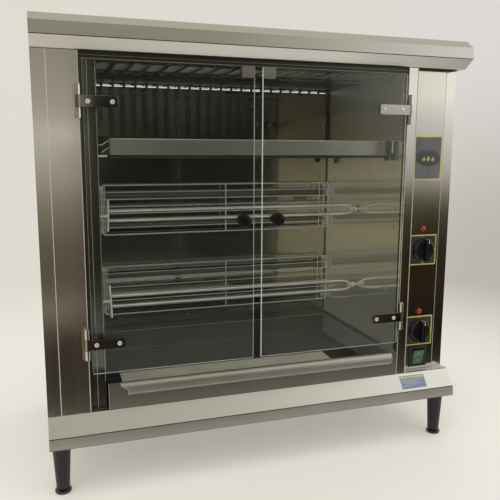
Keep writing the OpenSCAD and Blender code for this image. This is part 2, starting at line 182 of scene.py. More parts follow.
def brushed(name, axis, color, rough=0.26, grain=0.5, smudge=0.5, wave=0.0):
    """Brushed sheet with its grain along one axis, faint finger smudges and, if asked, the slow ripple of thin sheet."""
    m, nt = new_mat(name)
    s = [900.0, 900.0, 900.0]
    s["XYZ".index(axis)] = 2.2
    fine = noise(nt, obj_coords(nt, s), 1.0, 4.0, 0.62)
    s2 = [260.0, 260.0, 260.0]
    s2["XYZ".index(axis)] = 0.8
    coarse = noise(nt, obj_coords(nt, s2, (3.1, 1.7, 0.3)), 1.0, 2.0, 0.5)
    blot = noise(nt, obj_coords(nt, (1, 1, 1), (0.4, 0.2, 0.9)), 7.0, 4.0, 0.6, 0.6)
    streak = math_node(nt, "ADD", math_node(nt, "MULTIPLY", fine, 0.65), math_node(nt, "MULTIPLY", coarse, 0.35))
    c0 = [c * (1 - 0.10 * grain) for c in color]
    c1 = [min(1.0, c * (1 + 0.09 * grain)) for c in color]
    col = ramp(nt, streak, [(0.30, c0), (0.70, c1)])
    col = mix_color(nt, remap(nt, blot, 0.45, 0.75, 0.0, 0.16 * smudge), col, [c * 0.78 for c in color])
    r1 = remap(nt, streak, 0.3, 0.7, rough - 0.05 * grain, rough + 0.06 * grain)
    r2 = math_node(nt, "ADD", r1, remap(nt, blot, 0.4, 0.75, -0.01, 0.07 * smudge))
    nrm = bump(nt, fine, 0.05 * grain, 0.0002)
    if wave:
        slow = noise(nt, obj_coords(nt, (1, 1, 1), (0.1, 0.7, 0.2)), 3.2, 1.0, 0.4)
        nrm = bump(nt, slow, wave, 0.02, nrm)
    principled(nt, Base_Color=col, Metallic=1.0, Roughness=r2, Normal=nrm)
    return m


def polished(name, color, rough=0.09, wave=0.05, cloud=0.5, axis="Z", soft=0.0, soft_level=0.45, painted_slat_reflections=False, painted_glow=0.0):
    """Bright sheet, nearly a mirror, with a faint rolling grain, haze and the slow ripple of thin sheet."""
    m, nt = new_mat(name)
    s = [160.0, 160.0, 160.0]
    s["XYZ".index(axis)] = 1.5
    grain = noise(nt, obj_coords(nt, s), 1.0, 3.0, 0.6)
    haze = noise(nt, obj_coords(nt), 5.0, 4.0, 0.62, 0.8)
    slow = noise(nt, obj_coords(nt, (1, 1, 1), (0.3, 0.1, 0.6)), 2.6, 1.5, 0.45)
    col = ramp(nt, haze, [(0.32, [c * 0.86 for c in color]), (0.72, color)])
    col = mix_color(nt, remap(nt, grain, 0.35, 0.7, 0.0, 0.10), col, [c * 0.7 for c in color])
    r = math_node(nt, "ADD", remap(nt, haze, 0.35, 0.75, rough, rough + 0.12 * cloud),
                  remap(nt, grain, 0.3, 0.7, -0.02, 0.02))
    nrm = bump(nt, slow, wave, 0.02)
    p, out = principled(nt, Base_Color=col, Metallic=1.0, Roughness=r, Normal=nrm)
    if soft:
        # wiped sheet: part of the surface scatters widely, the rest mirrors; soft_level sets the brightness of the
        # scattering part and is set per wall as painted light and shade
        tone = mix_color(nt, remap(nt, haze, 0.3, 0.75, 0.0, 0.25), [c * soft_level for c in color], [c * soft_level * 0.7 for c in color])
        if painted_slat_reflections:
            # painted reflections of the ceiling slats below the vent row, fading out downwards and to the right
            sx = N(nt, "ShaderNodeSeparateXYZ")
            L(nt, obj_coords(nt), sx.inputs[0])
            wv = math_node(nt, "COSINE", math_node(nt, "MULTIPLY", math_node(nt, "ADD", sx.outputs["X"], 0.283), 2 * math.pi / 0.026))
            wv = remap(nt, wv, -0.3, 0.7, 1.0, 0.0)
            fz = remap(nt, sx.outputs["Z"], 0.60, 0.775, 0.0, 1.0)
            fx_ = remap(nt, sx.outputs["X"], -0.05, 0.12, 1.0, 0.0)
            k = math_node(nt, "MULTIPLY", math_node(nt, "MULTIPLY", wv, fz), fx_)
            tone = mix_color(nt, k, tone, [c * 0.95 for c in color])
        q = N(nt, "ShaderNodeBsdfPrincipled")
        L(nt, tone, q.inputs["Base Color"])
        q.inputs["Metallic"].default_value = 1.0
        if painted_glow:
            q.inputs["Emission Color"].default_value = (1.0, 0.94, 0.74, 1.0)
            # painted light: emission standing in for light on the lower wall, strongest low down, gone above the upper
            # tray
            gz = N(nt, "ShaderNodeSeparateXYZ")
            L(nt, obj_coords(nt), gz.inputs[0])
            L(nt, remap(nt, gz.outputs["Z"], 0.55, 0.68, painted_glow, 0.0), q.inputs["Emission Strength"])
        L(nt, remap(nt, haze, 0.35, 0.75, 0.30, 0.36), q.inputs["Roughness"])
        mx = N(nt, "ShaderNodeMixShader")
        mx.inputs[0].default_value = soft
        L(nt, p.outputs[0], mx.inputs[1])
        L(nt, q.outputs[0], mx.inputs[2])
        L(nt, mx.outputs[0], out.inputs["Surface"])
    return m


def bright_metal(name, color, rough=0.16, scale=60.0, metal=1.0, painted_glow=0.0):
    m, nt = new_mat(name)
    a = noise(nt, obj_coords(nt), scale, 4.0, 0.6)
    b = noise(nt, obj_coords(nt, (1, 1, 1), (2, 1, 4)), scale * 0.2, 3.0, 0.6)
    col = ramp(nt, b, [(0.3, [c * 0.78 for c in color]), (0.7, color)])
    r = math_node(nt, "ADD", remap(nt, a, 0.3, 0.7, rough - 0.04, rough + 0.06), remap(nt, b, 0.4, 0.7, 0.0, 0.06))
    p, out = principled(nt, Base_Color=col, Metallic=metal, Roughness=r, Normal=bump(nt, a, 0.05, 0.0003))
    # painted light: emission in the metal's own colour
    if painted_glow:
        L(nt, col, p.inputs["Emission Color"])
        p.inputs["Emission Strength"].default_value = painted_glow
    return m


def plastic(name, color, rough=0.35, grain=400.0, depth=0.12, coat=0.0, spec=0.5):
    m, nt = new_mat(name)
    a = noise(nt, obj_coords(nt), grain, 3.0, 0.6)
    b = noise(nt, obj_coords(nt, (1, 1, 1), (5, 2, 1)), 18.0, 4.0, 0.6)
    col = ramp(nt, b, [(0.3, [c * 0.8 for c in color]), (0.75, [min(1, c * 1.15 + 0.004) for c in color])])
    r = math_node(nt, "ADD", remap(nt, b, 0.3, 0.7, rough - 0.06, rough + 0.06), remap(nt, a, 0.3, 0.7, -0.02, 0.03))
    principled(nt, Base_Color=col, Roughness=r, Normal=bump(nt, a, depth, 0.0002), Coat=coat, Specular=spec)
    return m


def glass_mat(name, tint):
    """Clear toughened glass; lamps shine straight through it."""
    m, nt = new_mat(name)
    smear = noise(nt, obj_coords(nt, (1, 1, 1), (0.2, 0.5, 0.1)), 9.0, 4.0, 0.65, 0.5)
    p = N(nt, "ShaderNodeBsdfPrincipled")
    L(nt, ramp(nt, smear, [(0.3, tint), (0.8, [min(1.0, c + 0.012) for c in tint])]), p.inputs["Base Color"])
    p.inputs["Roughness"].default_value = 0.0
    p.inputs["IOR"].default_value = 1.47
    p.inputs["Transmission Weight"].default_value = 1.0
    t = N(nt, "ShaderNodeBsdfTransparent")
    t.inputs["Color"].default_value = (0.92, 0.96, 0.94, 1)
    lp = N(nt, "ShaderNodeLightPath")
    mx = N(nt, "ShaderNodeMixShader")
    fac = math_node(nt, "MAXIMUM", lp.outputs["Is Shadow Ray"], lp.outputs["Is Diffuse Ray"])
    L(nt, fac, mx.inputs[0])
    L(nt, p.outputs[0], mx.inputs[1])
    L(nt, t.outputs[0], mx.inputs[2])
    out = N(nt, "ShaderNodeOutputMaterial")
    L(nt, mx.outputs[0], out.inputs["Surface"])
    return m


def glass_rim(name, color, painted_glow):
    """Ground rim of the pane, pale green; its emission is painted light standing in for the light the sheet gathers
    into its edge.
    """
    m, nt = new_mat(name)
    a = noise(nt, obj_coords(nt, (60, 60, 60)), 1.0, 3.0, 0.6)
    col = ramp(nt, a, [(0.3, [c * 0.82 for c in color]), (0.7, color)])
    p, out = principled(nt, Base_Color=col, Roughness=remap(nt, a, 0.3, 0.7, 0.30, 0.45))
    L(nt, col, p.inputs["Emission Color"])
    p.inputs["Emission Strength"].default_value = painted_glow
    return m


def ceramic_mat(name, color):
    m, nt = new_mat(name)
    a = noise(nt, obj_coords(nt), 350.0, 4.0, 0.65)
    b = noise(nt, obj_coords(nt, (1, 1, 1), (1, 3, 2)), 40.0, 3.0, 0.6)
    col = ramp(nt, b, [(0.3, [c * 0.82 for c in color]), (0.7, color)])
    principled(nt, Base_Color=col, Roughness=remap(nt, a, 0.3, 0.7, 0.55, 0.75), Normal=bump(nt, a, 0.25, 0.0004))
    return m


STEEL = (0.73, 0.72, 0.69)
M = {
    "steel_x": brushed("steel_brushed_x", "X", STEEL, 0.295, 0.3, 0.4),
    "steel_z": brushed("steel_brushed_z", "Z", (0.66, 0.645, 0.62), 0.10, 0.5, 0.4, 0.01),
    "steel_y": brushed("steel_brushed_y", "Y", STEEL, 0.27, 0.7, 0.6),
    "inner_x": brushed("steel_inner_x", "X", (0.52, 0.51, 0.46), 0.30, 0.4, 0.5),
    "inner_z": brushed("steel_inner_z", "Z", (0.60, 0.58, 0.55), 0.09, 0.5, 0.4),
    # the chamber mirrors are one steel: the soft lobe's brightness differs by wall as painted light and shade, the
    # back wall and ceiling get painted slat reflections, the right wall painted emission
    "mirror_z": polished("steel_mirror_z", (0.64, 0.63, 0.55), 0.06, 0.06, 0.4, "Z", 0.34, 0.60),
    "mirror_x": polished("steel_mirror_x", (0.60, 0.595, 0.53), 0.06, 0.05, 0.4, "X", 0.34, 0.17, True),
    "mirror_r": polished("steel_mirror_r", (0.72, 0.70, 0.60), 0.06, 0.05, 0.3, "Z", 0.45, 0.95, painted_glow=0.118),
    "tray": polished("steel_tray", (0.60, 0.59, 0.54), 0.30, 0.04, 0.4, "X"),
    "gusset": brushed("gusset_steel", "Y", (0.36, 0.36, 0.315), 0.36, 0.5, 0.5),
    "wire": bright_metal("bright_wire", (0.80, 0.80, 0.77), 0.16),
    "strap": polished("strap_polished", (0.36, 0.34, 0.30), 0.06, 0.03, 0.4, "X"),
    # right door straps: a lighter copy of the same polished steel, as painted light
    "strap_r": polished("painted_lighter_strap_polished", (0.46, 0.45, 0.41), 0.06, 0.03, 0.4, "X"),
    # door-glass screws: bright metal with painted emission
    "screw_painted_light": bright_metal("screw_painted_light", (0.92, 0.91, 0.87), 0.32, 300.0, 0.7, 0.10),
    "screw": bright_metal("screw_metal", (0.78, 0.77, 0.74), 0.20, 300.0),
    "quartz": ceramic_mat("heater_quartz", (0.15, 0.15, 0.135)),
    "ceramic": ceramic_mat("ceramic_white", (0.74, 0.72, 0.67)),
    "motor": plastic("motor_paint", (0.10, 0.105, 0.11), 0.4, 500.0, 0.2),
    "phenolic": plastic("black_phenolic", (0.004, 0.004, 0.004), 0.24, 600.0, 0.05, 0.0, 0.22),
    "black": plastic("black_plastic", (0.016, 0.016, 0.016), 0.38, 700.0, 0.15),
    "legs": plastic("leg_plastic", (0.010, 0.010, 0.011), 0.34, 500.0, 0.10, 0.0, 0.4),
    "glass": glass_mat("door_glass", (0.93, 0.965, 0.945)),
    "hinge": bright_metal("hinge_black", (0.045, 0.042, 0.038), 0.22, 120.0),
    "green": plastic("rocker_green", (0.010, 0.085, 0.042), 0.20, 300.0, 0.05, 0.5),
    "red": plastic("lamp_red", (0.50, 0.030, 0.010), 0.12, 300.0, 0.03, 0.8),
    "plate": plastic("label_plate", (0.034, 0.030, 0.044), 0.35, 400.0, 0.05),
    "foil": plastic("label_foil", (0.20, 0.24, 0.36), 0.35, 400.0, 0.05),
    # glass rims, all with painted emission: dim on most edges, half-lit on the right-hand and bottom edges, a painted
    # highlight on the right door's left edge
    "glass_edge": glass_rim("glass_edge", (0.16, 0.20, 0.18), 0.04),
    "glass_rim_painted_highlight": glass_rim("glass_rim_painted_highlight", (0.62, 0.72, 0.66), 0.20),
    "glass_rim_painted_half_light": glass_rim("glass_rim_painted_half_light", (0.40, 0.45, 0.42), 0.10),
    "clip": brushed("clip_steel", "X", (0.40, 0.40, 0.37), 0.34, 0.5, 0.4),
    "knob": plastic("knob_black", (0.005, 0.005, 0.006), 0.16, 500.0, 0.05, 0.1, 0.4),
    "foot": plastic("foot_black", (0.008, 0.008, 0.008), 0.14, 500.0, 0.05, 0.5),
    "header": brushed("header_dark", "X", (0.085, 0.083, 0.070), 0.35, 0.5, 0.4),
    "jamb": brushed("jamb_dark", "Z", (0.11, 0.108, 0.092), 0.22, 0.5, 0.4),
    "bracket": bright_metal("bracket_dark", (0.10, 0.10, 0.088), 0.30, 120.0),
    # guard and spit wires carry painted emission
    "guard_wire": bright_metal("guard_wire", (0.70, 0.70, 0.65), 0.34, 40.0, 0.80, 0.11),
    "spit_wire": bright_metal("spit_wire", (0.86, 0.86, 0.81), 0.32, 25.0, 0.95, 0.04),
    # slot cards: emissive, painted light standing in for light that reaches the slots
    "slot_card_painted_light": bright_metal("slot_card_painted_light", (0.90, 0.90, 0.86), 0.60, 120.0, 0.0, 0.85),
    "slot_card_painted_dim_light": bright_metal("slot_card_painted_dim_light", (0.40, 0.41, 0.36), 0.60, 40.0, 0.0, 0.06),
    "ceiling_rear": brushed("ceiling_rear", "X", (0.10, 0.10, 0.085), 0.40, 0.4, 0.4),
    # grip line on the dial knobs: a painted highlight
    "painted_grip_highlight": plastic("painted_grip_highlight", (0.72, 0.72, 0.69), 0.35, 500.0, 0.04),
    "yellow": plastic("border_yellow", (0.55, 0.54, 0.06), 0.35, 500.0, 0.04),
    "yellow_soft": plastic("strip_yellow", (0.52, 0.52, 0.16), 0.40, 500.0, 0.04),
    "badge_grey": plastic("badge_grey", (0.125, 0.130, 0.135), 0.38, 500.0, 0.04),
    "badge_rim": bright_metal("badge_rim", (0.16, 0.18, 0.19), 0.22, 200.0),
    "badge_blue": plastic("badge_blue", (0.035, 0.050, 0.060), 0.22, 400.0, 0.04, 0.4),
    "amber": plastic("emblem_amber", (0.62, 0.34, 0.05), 0.40, 400.0, 0.04),
    "red_dark": plastic("lamp_collar", (0.14, 0.012, 0.008), 0.26, 400.0, 0.04),
    "mark_green": plastic("mark_green", (0.20, 0.45, 0.30), 0.35, 500.0, 0.04),
    "foil_light": plastic("foil_light", (0.42, 0.46, 0.58), 0.40, 500.0, 0.04),
    # drip tray faces: one steel, lighter or darker per face as painted light and shade; the ledge is a painted
    # highlight, the flanges painted shade, the right wall lighter with faint painted emission
    "pan_floor": polished("pan_floor", (0.20, 0.205, 0.175), 0.29, 0.02, 0.3, "X"),
    "pan_wall": polished("pan_wall", (0.34, 0.34, 0.29), 0.29, 0.03, 0.4, "X"),
    "pan_side_wall_painted_light": bright_metal("pan_side_wall_painted_light", (0.42, 0.42, 0.37), 0.40, 40.0, 0.6, 0.02),
    "pan_back": polished("pan_back", (0.28, 0.285, 0.25), 0.29, 0.03, 0.4, "X"),
    "painted_shade_flange": brushed("painted_shade_flange", "X", (0.028, 0.028, 0.023), 0.29, 0.2, 0.4),
    "painted_highlight_ledge": bright_metal("painted_highlight_ledge", (0.62, 0.57, 0.47), 0.48, 60.0, 0.35, 0.0),
    "tray_front": brushed("tray_front", "X", (0.30, 0.295, 0.272), 0.30, 0.4, 0.6),
    "lip_steel": brushed("lip_steel", "X", (0.56, 0.56, 0.51), 0.34, 0.4, 0.5),
    "shelf_face": brushed("shelf_face", "X", (0.50, 0.50, 0.45), 0.30, 0.4, 0.5),
    # painted highlights for folded edges and rims; the brightest also carries faint painted emission
    "edge_bright": bright_metal("edge_bright", (0.86, 0.85, 0.80), 0.42, 300.0, 0.8, 0.04),
    "edge_soft": bright_metal("edge_soft", (0.55, 0.55, 0.50), 0.40, 300.0),
    "painted_rim_highlight": bright_metal("painted_rim_highlight", (0.62, 0.62, 0.56), 0.42, 300.0),
    "gap_dark": plastic("shadow_gap", (0.012, 0.012, 0.010), 0.5, 300.0, 0.1),
}

GIVE = {
    "top_cap": "steel_x", "front_header": "header", "base_frame": "steel_x", "base_apron": "steel_x",
    "base_deck": "inner_x", "rear_panel": "steel_x", "left_side_panel": "steel_z", "left_post_cover": "steel_z",
    "left_wall": "mirror_z", "right_side_panel": "steel_z", "right_inner_post": "steel_z",
    "control_panel": "inner_z", "right_wall": "mirror_r", "back_wall": "mirror_x", "ceiling_panel": "mirror_x",
    "upper_gussets": "gusset", "panel_screws": "screw", "upper_tray": "tray", "upper_tray_supports": "bracket",
    "reflectors": "mirror_x", "heater_tubes": "quartz", "heater_holders": "ceramic", "guard_upper": "wire",
    "guard_lower": "wire", "spit_bearings": "wire", "gearmotors": "motor", "regulators": "phenolic",
    "indicator_lamps": "red", "panel_plates": "plate", "rating_label": "foil", "rocker_housing": "black",
    "rocker": "green", "knob_upper": "black", "knob_lower": "black", "glass_left": "glass",
    "glass_right": "glass", "straps_left": "strap", "straps_right": "strap", "door_screws_left": "screw",
    "door_screws_right": "screw", "hinge_leaves": "wire", "hinge_pins": "wire", "door_knob_left": "phenolic",
    "door_knob_right": "phenolic", "strike_left": "inner_x", "strike_right": "inner_x", "door_catches": "wire",
    "drip_tray": "tray", "drip_tray_handle": "steel_x", "tray_runners": "inner_x", "legs": "legs",
    "foot_front_left": "foot", "foot_front_right": "foot", "foot_rear_left": "foot", "foot_rear_right": "foot",
    "cable_gland": "black", "terminal_block": "ceramic", "spit_upper": "wire", "spit_lower": "wire",
}
for node, key in GIVE.items():
    o = NODES[node]
    o.data.materials.clear()
    o.data.materials.append(M[key])


# ------------------------------------------------------------------ mesh helpers (millimetres, Y = 0 at the post face)
def V(x, y, z):
    return Vector((x / 1000.0, y / 1000.0 - YM, z / 1000.0))


def finish_piece(name, bm, mats, body, replaces=(), smooth=True, angle=0.37):
    bmesh.ops.remove_doubles(bm, verts=bm.verts, dist=2e-6)
    bmesh.ops.recalc_face_normals(bm, faces=bm.faces)
    me = bpy.data.meshes.new(name)
    if smooth:
        for f in bm.faces:
            f.smooth = True
        for e in bm.edges:
            if len(e.link_faces) == 2 and e.calc_face_angle(0.0) > angle:
                e.smooth = False
    bm.to_mesh(me)
    bm.free()
    o = bpy.data.objects.new(name, me)
    scene.collection.objects.link(o)
    for m in (mats if isinstance(mats, (list, tuple)) else [mats]):
        me.materials.append(M[m])
    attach(o, body)
    if replaces:
        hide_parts(*replaces)
    return o


def fillet(points, r, n=6, closed=False):
    """Polyline with its corners rounded to radius r."""
    pts = [Vector(p) for p in points]
    out = []
    count = len(pts)
    for i, p in enumerate(pts):
        if not closed and i in (0, count - 1):
            out.append(p)
            continue
        a, b = pts[i - 1], pts[(i + 1) % count]
        u, v = (a - p), (b - p)
        lu, lv = u.length, v.length
        if lu < 1e-9 or lv < 1e-9:
            continue
        u.normalize()
        v.normalize()
        ang = u.angle(v)
        if ang > 3.12:
            out.append(p)
            continue
        d = min(r / math.tan(ang / 2), lu * 0.49, lv * 0.49)
        rr = d * math.tan(ang / 2)
        c = p + (u + v).normalized() * (rr / math.sin(ang / 2))
        s, e = p + u * d - c, p + v * d - c
        for k in range(n + 1):
            t = k / n
            q = s.lerp(e, t)
            if q.length > 1e-9:
                q = q.normalized() * rr
            out.append(c + q)
    return out


def sweep(bm, pts, radius, segs=14, closed=False, mat=0, dome=True):
    """Round bar along a polyline in metres; radius may be a list, one per point."""
    pts = [Vector(p) for p in pts]
    n = len(pts)
    rad = radius if isinstance(radius, (list, tuple)) else [radius] * n
    tang = []
    for i in range(n):
        a = pts[i - 1] if (i > 0 or closed) else pts[i]
        b = pts[(i + 1) % n] if (i < n - 1 or closed) else pts[i]
        t = b - a
        tang.append(t.normalized() if t.length > 1e-12 else Vector((1, 0, 0)))
    ref = Vector((0, 0, 1)) if abs(tang[0].z) < 0.9 else Vector((1, 0, 0))
    nrm = (ref - tang[0] * ref.dot(tang[0])).normalized()
    rings = []

    def ring(c, t, nr, r):
        bn = t.cross(nr)
        return [bm.verts.new(c + (nr * math.cos(2 * math.pi * k / segs) + bn * math.sin(2 * math.pi * k / segs)) * r)
                for k in range(segs)]

    for i in range(n):
        if i:
            nrm = (nrm - tang[i] * nrm.dot(tang[i])).normalized()
        if not closed and dome and i == 0:
            r0 = rad[0]
            for a in (0.25, 0.6, 0.88):
                rings.append(ring(pts[0] + tang[0] * (-r0 * 0.5 * (1 - a) ** 0.9 + 0), tang[0], nrm, r0 * math.sin(math.acos(1 - a))))
        rings.append(ring(pts[i], tang[i], nrm, rad[i]))
        if not closed and dome and i == n - 1:
            r0 = rad[-1]
            for a in (0.88, 0.6, 0.25):
                rings.append(ring(pts[i] + tang[i] * (r0 * 0.5 * (1 - a) ** 0.9), tang[i], nrm, r0 * math.sin(math.acos(1 - a))))
    m = len(rings)
    for i in range(m if closed else m - 1):
        a, b = rings[i], rings[(i + 1) % m]
        for k in range(segs):
            f = bm.faces.new((a[k], a[(k + 1) % segs], b[(k + 1) % segs], b[k]))
            f.material_index = mat
    if not closed:
        for rg, flip in ((rings[0], True), (rings[-1], False)):
            f = bm.faces.new(list(reversed(rg)) if flip else rg)
            f.material_index = mat


def lathe(bm, profile, origin, axis, segs=40, mat=0, lobes=None):
    """Revolves (distance along axis, radius) pairs in metres; lobes = (count, depth, from, to) flutes the skirt."""
    axis = Vector(axis).normalized()
    ref = Vector((0, 0, 1)) if abs(axis.z) < 0.9 else Vector((1, 0, 0))
    u = (ref - axis * ref.dot(axis)).normalized()
    w = axis.cross(u)
    rings = []
    for i, (h, r) in enumerate(profile):
        if r <= 1e-7:
            rings.append([bm.verts.new(origin + axis * h)])
            continue
        ring = []
        for k in range(segs):
            a = 2 * math.pi * k / segs
            rr = r
            if lobes and lobes[2] <= i <= lobes[3]:
                rr = r - lobes[1] * (0.5 - 0.5 * math.cos(lobes[0] * a)) ** 3
            ring.append(bm.verts.new(origin + axis * h + (u * math.cos(a) + w * math.sin(a)) * rr))
        rings.append(ring)
    for a, b in zip(rings, rings[1:]):
        if len(a) == 1 and len(b) == 1:
            continue
        for k in range(segs):
            k2 = (k + 1) % segs
            if len(a) == 1:
                f = bm.faces.new((a[0], b[k2], b[k]))
            elif len(b) == 1:
                f = bm.faces.new((a[k], a[k2], b[0]))
            else:
                f = bm.faces.new((a[k], a[k2], b[k2], b[k]))
            f.material_index = mat
    for rg in (rings[0], rings[-1]):
        if len(rg) > 2:
            bm.faces.new(rg).material_index = mat


def slab(bm, outline, to3d, depth, bevel=0.0003, steps=2, mat=0, edge_mat=None):
    """Plate: a closed 2-D outline in millimetres, pushed out by depth, with eased rims. to3d(u, v, w) places it."""
    pts = [Vector((p[0], p[1])) for p in outline]
    depth *= 1000
    turn = sum(pts[i - 1].x * pts[i].y - pts[i].x * pts[i - 1].y for i in range(len(pts)))
    if turn < 0:
        pts.reverse()
    n = len(pts)
    b = bevel * 1000
    nor = []
    for i in range(n):
        e1 = (pts[i] - pts[i - 1])
        e2 = (pts[(i + 1) % n] - pts[i])
        e1 = e1.normalized() if e1.length > 1e-9 else e2.normalized()
        e2 = e2.normalized() if e2.length > 1e-9 else e1
        n1, n2 = Vector((e1.y, -e1.x)), Vector((e2.y, -e2.x))
        s = n1 + n2
        if s.length < 1e-6:
            s = n1
        s.normalize()
        nor.append(s / max(0.35, s.dot(n1)))
    levels = [(b, 0.0)] + [(b * (1 - math.sin(k * math.pi / 2 / steps)), b * (1 - math.cos(k * math.pi / 2 / steps))) for k in range(1, steps + 1)]
    levels += [(b * (1 - math.cos(k * math.pi / 2 / steps)), depth - b * (1 - math.sin(k * math.pi / 2 / steps))) for k in range(0, steps + 1)]
    rings = []
    for inset, w in levels:
        rings.append([bm.verts.new(to3d(p.x - q.x * inset, p.y - q.y * inset, w)) for p, q in zip(pts, nor)])
    em = mat if edge_mat is None else edge_mat
    for a, c in zip(rings, rings[1:]):
        for k in range(n):
            bm.faces.new((a[k], a[(k + 1) % n], c[(k + 1) % n], c[k])).material_index = em
    bm.faces.new(list(reversed(rings[0]))).material_index = mat
    bm.faces.new(rings[-1]).material_index = mat


def round_rect(x0, x1, z0, z1, r, n=5, corners=(1, 1, 1, 1)):
    """Outline with rounded corners: lower left, lower right, upper right, upper left."""
    out = []
    data = ((x0, z0, math.pi, corners[0]), (x1, z0, 1.5 * math.pi, corners[1]), (x1, z1, 0.0, corners[2]), (x0, z1, 0.5 * math.pi, corners[3]))
    for x, z, a0, on in data:
        rr = r * on
        if rr <= 0:
            out.append((x, z))
            continue
        cx = x + (rr if x == x0 else -rr)
        cz = z + (rr if z == z0 else -rr)
        for k in range(n + 1):
            a = a0 + k * math.pi / 2 / n
            out.append((cx + rr * math.cos(a), cz + rr * math.sin(a)))
    return out


def front(y):
    """Plates that face the front: outline in X and Z, thickness grows backwards from y."""
    return lambda u, v, w: V(u, y + w, v)


def rbox(bm, x0, x1, y0, y1, z0, z1, b=0.4, mat=0):
    slab(bm, [(x0, z0), (x1, z0), (x1, z1), (x0, z1)], front(y0), (y1 - y0) / 1000, b / 1000, 2, mat)


def fold(bm, profile, x0, x1, th, mat=0, r=1.6, n=4, ends=None):
    """Folded sheet along X: an open (y, z) profile with rounded bends, thickened to one side."""
    pts = [Vector((0, p[0], p[1])) for p in profile]
    path = fillet(pts, r, n)
    off = []
    for i, p in enumerate(path):
        a = path[i - 1] if i else p
        b2 = path[i + 1] if i < len(path) - 1 else p
        t = (b2 - a).normalized()
        off.append(Vector((0, -t.z, t.y)) * th)
    rows = []
    for x in (x0, x1):
        rows.append(([bm.verts.new(V(x, p.y, p.z)) for p in path], [bm.verts.new(V(x, p.y + q.y, p.z + q.z)) for p, q in zip(path, off)]))
    m = len(path)
    for i in range(m - 1):
        for s in (0, 1):
            a, b3 = rows[0][s], rows[1][s]
            bm.faces.new((a[i], a[i + 1], b3[i + 1], b3[i])).material_index = mat
        for k in (0, 1):
            a, b3 = rows[k]
            bm.faces.new((a[i], a[i + 1], b3[i + 1], b3[i])).material_index = mat
    for i in (0, m - 1):
        bm.faces.new((rows[0][0][i], rows[1][0][i], rows[1][1][i], rows[0][1][i])).material_index = mat


# ------------------------------------------------------------------ eased edges on the CAD sheets
def ease(node, width, segs=2, limit=0.5):
    o = NODES[node]
    d = o.modifiers.new("flat", "DECIMATE")
    d.decimate_type = "DISSOLVE"
    d.angle_limit = 0.01
    b = o.modifiers.new("ease", "BEVEL")
    b.width = width
    b.segments = segs
    b.limit_method = "ANGLE"
    b.angle_limit = limit
    b.use_clamp_overlap = True


for node, w in {"top_cap": 0.0009, "base_apron": 0.0009, "base_frame": 0.0005, "left_side_panel": 0.0005,
                "left_post_cover": 0.0005, "right_side_panel": 0.0005, "right_inner_post": 0.0005,
                "control_panel": 0.0005, "front_header": 0.0005, "rear_panel": 0.0004, "back_wall": 0.0003,
                "left_wall": 0.0004, "right_wall": 0.0003, "ceiling_panel": 0.0004, "upper_gussets": 0.0004,
                "door_catches": 0.0005, "tray_runners": 0.0005, "upper_tray_supports": 0.0004,
                "terminal_block": 0.0008, "regulators": 0.0008, "gearmotors": 0.002, "base_deck": 0.0003,
                "heater_holders": 0.0008}.items():
    ease(node, w)

